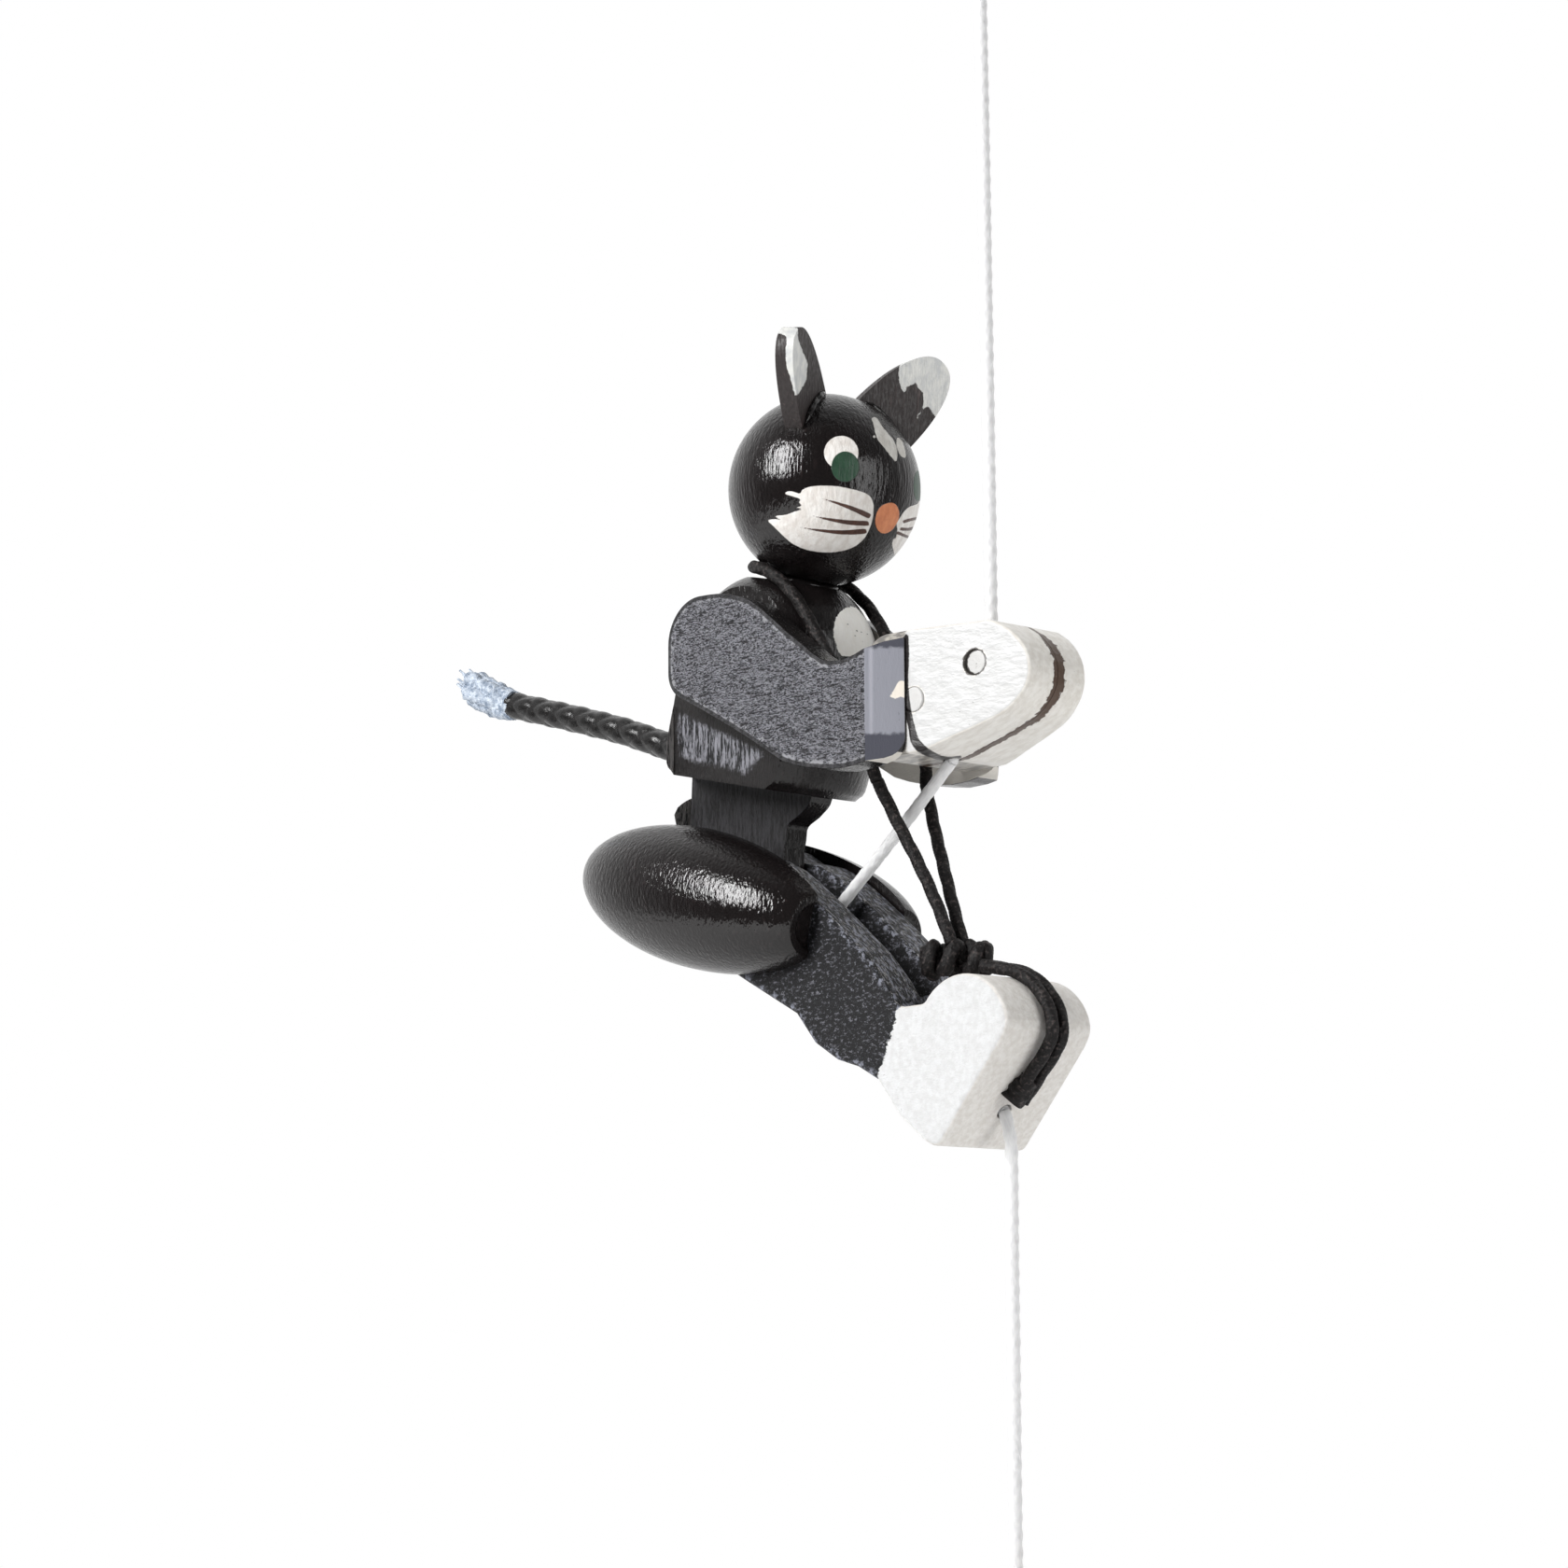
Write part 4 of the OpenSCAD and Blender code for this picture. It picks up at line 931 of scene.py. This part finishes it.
# Leg block: both legs and feet are one 19 mm board, slotted from behind for the tongue and the string.
# Black paint worn through along the grain; the feet were brushed white.
leg_half, slot_end, slot_half, hip_pin_d, guide_pin, guide_pin_d = 9.5, -11.6, 2.6, 4.0, (-32.3, -23.8), 3.0
foot_ball, foot_ball_r = (1.8, -42.5), 9.2
leg_outline = arc(hip, 9.4, 270, 88, 48) + [
    (-46.5, -9.5), (-43.7, -11.3), (-39.2, -12.4), (-35.6, -14.2), (-32.4, -16.5), (-27.4, -20.4), (-22.6, -24.4),
    (-17.8, -28.5), (-14, -32.7), (-10.8, -37.3), (-6.6, -37.2)] + arc(foot_ball, foot_ball_r, 144, 20, 25) + [
    (10.7, -40.5), (10.6, -41.6), (10.15, -42.6), (9.45, -43.65), (8.6, -44.7), (-2.8, -58.2), (-4.4, -58.0),
    (-5.8, -57.3), (-10.8, -53.4), (-15.2, -47.8), (-19.3, -45.6), (-23.6, -44.3), (-28.2, -41.5), (-32.1, -36.8),
    (-42.8, -31.1)]
legs = sawn("leg_board", leg_outline, -leg_half, leg_half)
worked(legs, box((-120, -slot_half, -120), (slot_end, slot_half, 60)))
eased(legs, 1.0, 5)
worked(legs, cross_rod(hip, hip_pin_d))
worked(legs, cross_rod(guide_pin, guide_pin_d))
worked(legs, rod(in_cat(-14.1, 0, -40.9), in_cat(5.3, 0, -55.9), string_hole_d))
bpy.ops.object.shade_smooth_by_angle(angle=math.radians(32))
diced(legs, 0.8)
rimmed(legs, leg_outline)
marked(legs, "side", lambda p, n: abs(n.y))


def leg_finish(name, dark, light, streak):
    """Worn black paint behind a jagged line across the ankle, and white brushed on in front of it."""
    paint = worn_paint(name, dark, light, 0.225, streak)
    rubbed_and_shaded = paint.grain(paint.places(scale=(0.5, 1, 0.5)), 1.6, 4.0, 0.7)
    rubbed_and_shaded = paint.reckon("MULTIPLY", paint.between(rubbed_and_shaded, 0.50, 0.60),
                          paint.between(paint.attribute("rim"), 0.5, 1.5, 0.8, 0))
    black = paint.blend(rubbed_and_shaded, paint.tone, (0.24, 0.25, 0.30))
    x, _, z = paint.apart(paint.places())
    ankle_slope, ankle_x, ankle_z = 0.438, -10.6, -37.3
    ahead = paint.reckon("MULTIPLY_ADD", z, -ankle_slope,
                         paint.reckon("ADD", x, ankle_slope * (ankle_z - cat_drop) - ankle_x))
    tear = paint.grain(paint.places(scale=(0.45, 1, 1)), 0.75, 5.0, 0.72)
    front = paint.between(paint.reckon("MULTIPLY_ADD", tear, 3.4, ahead), 1.75, 1.95)
    brush = paint.grain(paint.places(), 1.1, 4.0, 0.6)
    white = paint.mottled(brush, 0.3, 0.7, (0.56, 0.56, 0.56), (0.64, 0.645, 0.65))
    cream = paint.mottled(brush, 0.3, 0.7, (0.66, 0.63, 0.59), (0.78, 0.76, 0.73))
    # Painted light and shade: the white is cooler and darker on the faces that turn squarely to the sides, and a
    # warmer, paler cream on the faces turned away from them.
    white = paint.mottled(paint.attribute("side"), 0.6, 0.95, cream, white)
    white = paint.blend(paint.between(brush, 0.71, 0.76, 0, 0.8), white, (0.12, 0.10, 0.09))
    paint.coat(paint.blend(front, black, white))
    return paint


leg_paint = leg_finish("leg paint", (0.003, 0.003, 0.004), (0.13, 0.13, 0.15), (0.7, 1.2, 1.2))
leg_top_paint = leg_finish("leg top paint", (0.004, 0.004, 0.0045), (0.42, 0.41, 0.41), (0.6, 2.2, 0.6))
fitted(legs, leg_paint, "legs", "leg_block")
surfaced(legs, leg_top_paint, lambda n, c: abs(n.y) < 0.5 and n.z > 0.3 and c.x < -8)

# Thighs: a turned egg sawn in half along its axis, a half glued on each side. Its front end is cut off
# flat with a hollow in it. Thick black gloss paint.
thigh_r, thigh_len, thigh_end_r, thigh_seat = 10.9, 50.4, 4.8, 9.52
thigh_tail, thigh_tilt = (-76.8, -10.95), math.radians(90 + 14.9)
wide_at = thigh_len / 2
egg = [(0, 0)] + [(thigh_r * math.sin(math.radians(a)), wide_at * (1 - math.cos(math.radians(a))))
                  for a in range(4, 90, 4)]
nose_len = (thigh_len - wide_at) / math.sqrt(1 - (thigh_end_r / thigh_r) ** 2)
egg += [(thigh_r * math.sqrt(1 - (z / nose_len) ** 2), wide_at + z) for z in range(0, 25)]
egg += [(5.0, 50.1), (4.75, 50.33), (4.3, 50.4), (3.7, 50.4), (3.3, 50.15), (2.9, 49.8), (1.5, 49.7), (0, 49.7)]
thigh_paint = black_paint("black paint on the thighs", warm_black, 0.12, 0.4, 1.0)
for (side, name), drop in zip(SIDES, (0, 0.6)):
    thigh = turned("thigh_" + name + "_egg", egg, in_cat(thigh_tail[0], side * thigh_seat, thigh_tail[1] - drop),
                   thigh_tilt)
    worked(thigh, box((-200, side * thigh_seat, -200), (200, -side * 40, 200)))
    eased(thigh, 0.35, 2, 50)
    fitted(thigh, thigh_paint, "legs", "thigh_" + name)


# Elastic: one length of black knitted elastic, round the back of the neck, down to a knot over the feet
# and on under the toes to the mouth of the string's hole.
def twist(strands, pitch, depth):
    """Relief of a cord of twisted strands."""

    def relief(angle, along):
        lobe = abs(math.sin((strands * angle + math.tau * along / pitch) / 2))
        rib = math.sin(math.tau * along / 0.55 + angle) * 0.025
        return 1 - depth + depth * lobe**0.7 + rib

    return relief


def mirrored(points):
    return [(x, -y, z) for x, y, z in points]


elastic_black = Paint("elastic", (0.007, 0.005, 0.005), 0.55, Specular_IOR_Level=0.25)
knit = elastic_black.grain(elastic_black.cord_uv(9, 1.5), 1.0, 3.0, 0.6)
elastic_black.coat(elastic_black.mottled(knit, 0.50, 0.72, (0.004, 0.003, 0.003), (0.062, 0.050, 0.048)))
elastic_black.bump(knit, 1.2, 0.3)
elastic_d, knitted = 2.0, twist(3, 4.4, 0.18)
neck_side = [(-45.7, -3.8, 34.7), (-42.6, -7.1, 33.85), (-38.8, -8.5, 32.6), (-35.3, -8.45, 30.25), (-32, -8.45, 26.9),
             (-28.6, -8.3, 22), (-24.6, -8.1, 15.6), (-21.4, -7.5, 8.6), (-19.4, -6.4, 1.6), (-18.3, -5.4, -2.4)]
strand = [(-18.3, -5.4, -2.4), (-15.6, -4.1, -8.6), (-12.6, -2.8, -15), (-9.8, -1.8, -21.4), (-7.3, -1.3, -27.6)]
foot_loop = [(-1.2, 1.2, -31.4), (2.4, 1.2, -32.1), (6.1, 1.1, -33.2), (9.4, 1.1, -35.6), (11.5, 1.1, -38.5),
             (12.2, 1.1, -41.4), (11.3, 1.1, -44.1), (8.7, 1.1, -47), (5.9, 1.1, -50), (4.4, 1, -51.6)]
for name, points, body, node_name in (
        ("elastic_neck", neck_side[::-1] + [(-47.2, 0, 35)] + mirrored(neck_side), "cat", "elastic_neck_loop"),
        ("elastic_right", strand, None, "elastic_strand_right"),
        ("elastic_left", mirrored(strand), None, "elastic_strand_left"),
        ("elastic_foot_a", foot_loop, "legs", "elastic_foot_loop"),
        ("elastic_foot_b", mirrored(foot_loop), "legs", "elastic_foot_loop")):
    piece, line = cord_tube(name, through([in_cat(*p) for p in points]), elastic_d, knitted, step=0.2)
    fitted(piece, elastic_black, body, node_name)
    if not body:
        tuple(line[0])
        tuple(line[-1])
        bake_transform(piece)

# The knot is drawn in flat turns; below the feet the loop's end is frayed.
knot_turn_d, frayed_d = 2.35, 3.7
knot_turns = []
for k in range(169):
    a, b = math.tau * k / 168, math.tau * k / 24
    way = Vector((4.0 * math.cos(a) - 0.9 * math.sin(a), 2.2 * math.cos(a) + 0.9 * math.sin(a), 0.3 * math.sin(2 * a)))
    way += Vector((0.5 * math.cos(b), -0.6 * math.cos(b), 1.4 * math.sin(b))) * (1 + 0.32 * abs(math.sin(a)))
    knot_turns.append(in_cat(-7.5, 0, -29.9) + way * MM)
knot, _ = cord_tube("elastic_knot_turns", knot_turns, knot_turn_d, knitted, sides=20, closed=True)
fitted(knot, elastic_black, "legs", "elastic_knot")


def fray(angle, along):
    swell = 0.72 + 0.28 * math.sin(min(1, along / 2.6) * math.pi / 2)
    return swell * (1 + 0.30 * noise.noise(Vector((along * 1.1, angle * 1.2, 4))))


frayed_route = [in_cat(*p) for p in ((6.8, -0.3, -48.3), (5.6, -0.6, -49.8), (4.8, -0.9, -50.9), (4.2, -1.1, -51.6))]
frayed, _ = cord_tube("elastic_frayed_end", through(frayed_route), frayed_d, fray, sides=40, step=0.2)
fitted(frayed, elastic_black, "legs", "elastic_foot_loop")

# Glue that was brushed round the foot of the head, black like the rest.
collar_r, collar_drop, collar_d, collar_turn = 5.2, 14.75, 1.3, Matrix.Rotation(torso_lean + 0.12, 4, "Y")
collar = [head_c + collar_turn @ (Vector((collar_r * math.cos(a), collar_r * math.sin(a), -collar_drop)) * MM)
          for a in (math.tau * k / 48 for k in range(49))]
neck_glue, _ = cord_tube("neck_glue", collar, collar_d, lambda angle, along: 1 + 0.1 * math.sin(along * 0.9), sides=12,
                         step=0.4, closed=True)
fitted(neck_glue, bead_gloss, "cat")

# Tail: a stiff braided black cord glued into the torso's back. Its end is frayed out into a tuft that was
# dabbed with pale paint.
tail_points = [(-57, 5), (-63, 7), (-71, 9.9), (-80, 13.1), (-89, 15.8), (-98, 18.3), (-107, 20.7), (-110, 21.5)]
tail_d, tail_woven, tuft_from = 4.7, braid(3, 2.7, 0.15), 53


def tail_relief(angle, along):
    swell = 1 + 0.07 * max(0, 1 - along / 12)
    return swell * tail_woven(angle, along) * (0.86 if along > tuft_from else 1)


tail, _ = cord_tube("tail_braid", through(on_middle(*tail_points)), tail_d, tail_relief, sides=36)
tail_black = Paint("tail cord", (0.007, 0.006, 0.006), 0.26, Specular_IOR_Level=0.5)
threads = tail_black.grain(tail_black.cord_uv(30, 1.2), 1.0, 3.0)
tail_black.coat(tail_black.mottled(threads, 0.5, 0.8, (0.005, 0.0045, 0.0045), (0.024, 0.022, 0.021)))
tail_black.bump(threads, 0.6, 0.14)
fitted(tail, tail_black, "cat", "tail")
tuft_pale = Paint("painted tuft", (0.66, 0.70, 0.74), 0.55)
clots = tuft_pale.grain(tuft_pale.places(), 1.2, 4.0, 0.65)
tuft_pale.coat(tuft_pale.mottled(clots, 0.3, 0.7, (0.16, 0.21, 0.29), (0.60, 0.66, 0.74)))
tuft_pale.bump(clots, 1.0, 0.4)
wisp_d = 2.55
chance = random.Random(5)
for k in range(16):
    a = math.tau * (k * 0.382)
    out = Vector((0, math.cos(a), math.sin(a))) * (0.55 + 0.45 * (k % 3) / 2) * min(k, 1)
    reach = 13.0 + 2.0 * chance.random() - 2.0 * out.length
    route = []
    for t in (s / 5 for s in range(6)):
        base = Vector((-107 - reach * t, 0, 20.7 + 2.6 * t + 3.0 * t * t))
        fan = out * (1.2 + 2.0 * t - 0.9 * t * t)
        wave = 0.25 * Vector((0, chance.uniform(-1, 1), chance.uniform(-1, 1)))
        route.append(in_cat(*(base + fan + wave)))

    def clotted(angle, along):
        tip = max(0.16, min(1, (reach - along) / 1.8))
        return tip * (1 + 0.42 * noise.noise(Vector((along * 0.75, angle * 0.8, 7.3 * k))))

    wisp, _ = cord_tube("tail_tuft_%d" % k, through(route, 4), wisp_d, clotted, sides=14, step=0.3)
    fitted(wisp, tuft_pale, "cat", "tail")

# Hidden dowels and pin: birch dowels through the neck and the hip, and a steel pin for the string. They
# keep the CAD's solids.
for node_name, name, colour, roughness, metallic, scale, fine, relief, deep in (
        ("neck_dowel", "black paint on the neck", (0.02, 0.018, 0.018), 0.4, 0.0, (1, 1, 0.3), (2.0, 4.0), 0.6, 0.15),
        ("hip_pin", "black paint on the hip pin", (0.03, 0.029, 0.03), 0.45, 0.0, (1, 1, 1), (2.0, 4.0), 0.6, 0.15),
        ("string_guide_pin", "steel pin", (0.55, 0.55, 0.56), 0.35, 1.0, (1, 0.1, 1), (6.0, 3.0), 0.3, 0.05)):
    paint = Paint(name, colour, roughness, Metallic=metallic)
    paint.bump(paint.grain(paint.places(scale=scale), *fine), relief, deep)
    dress(bpy.data.objects[node_name], paint)
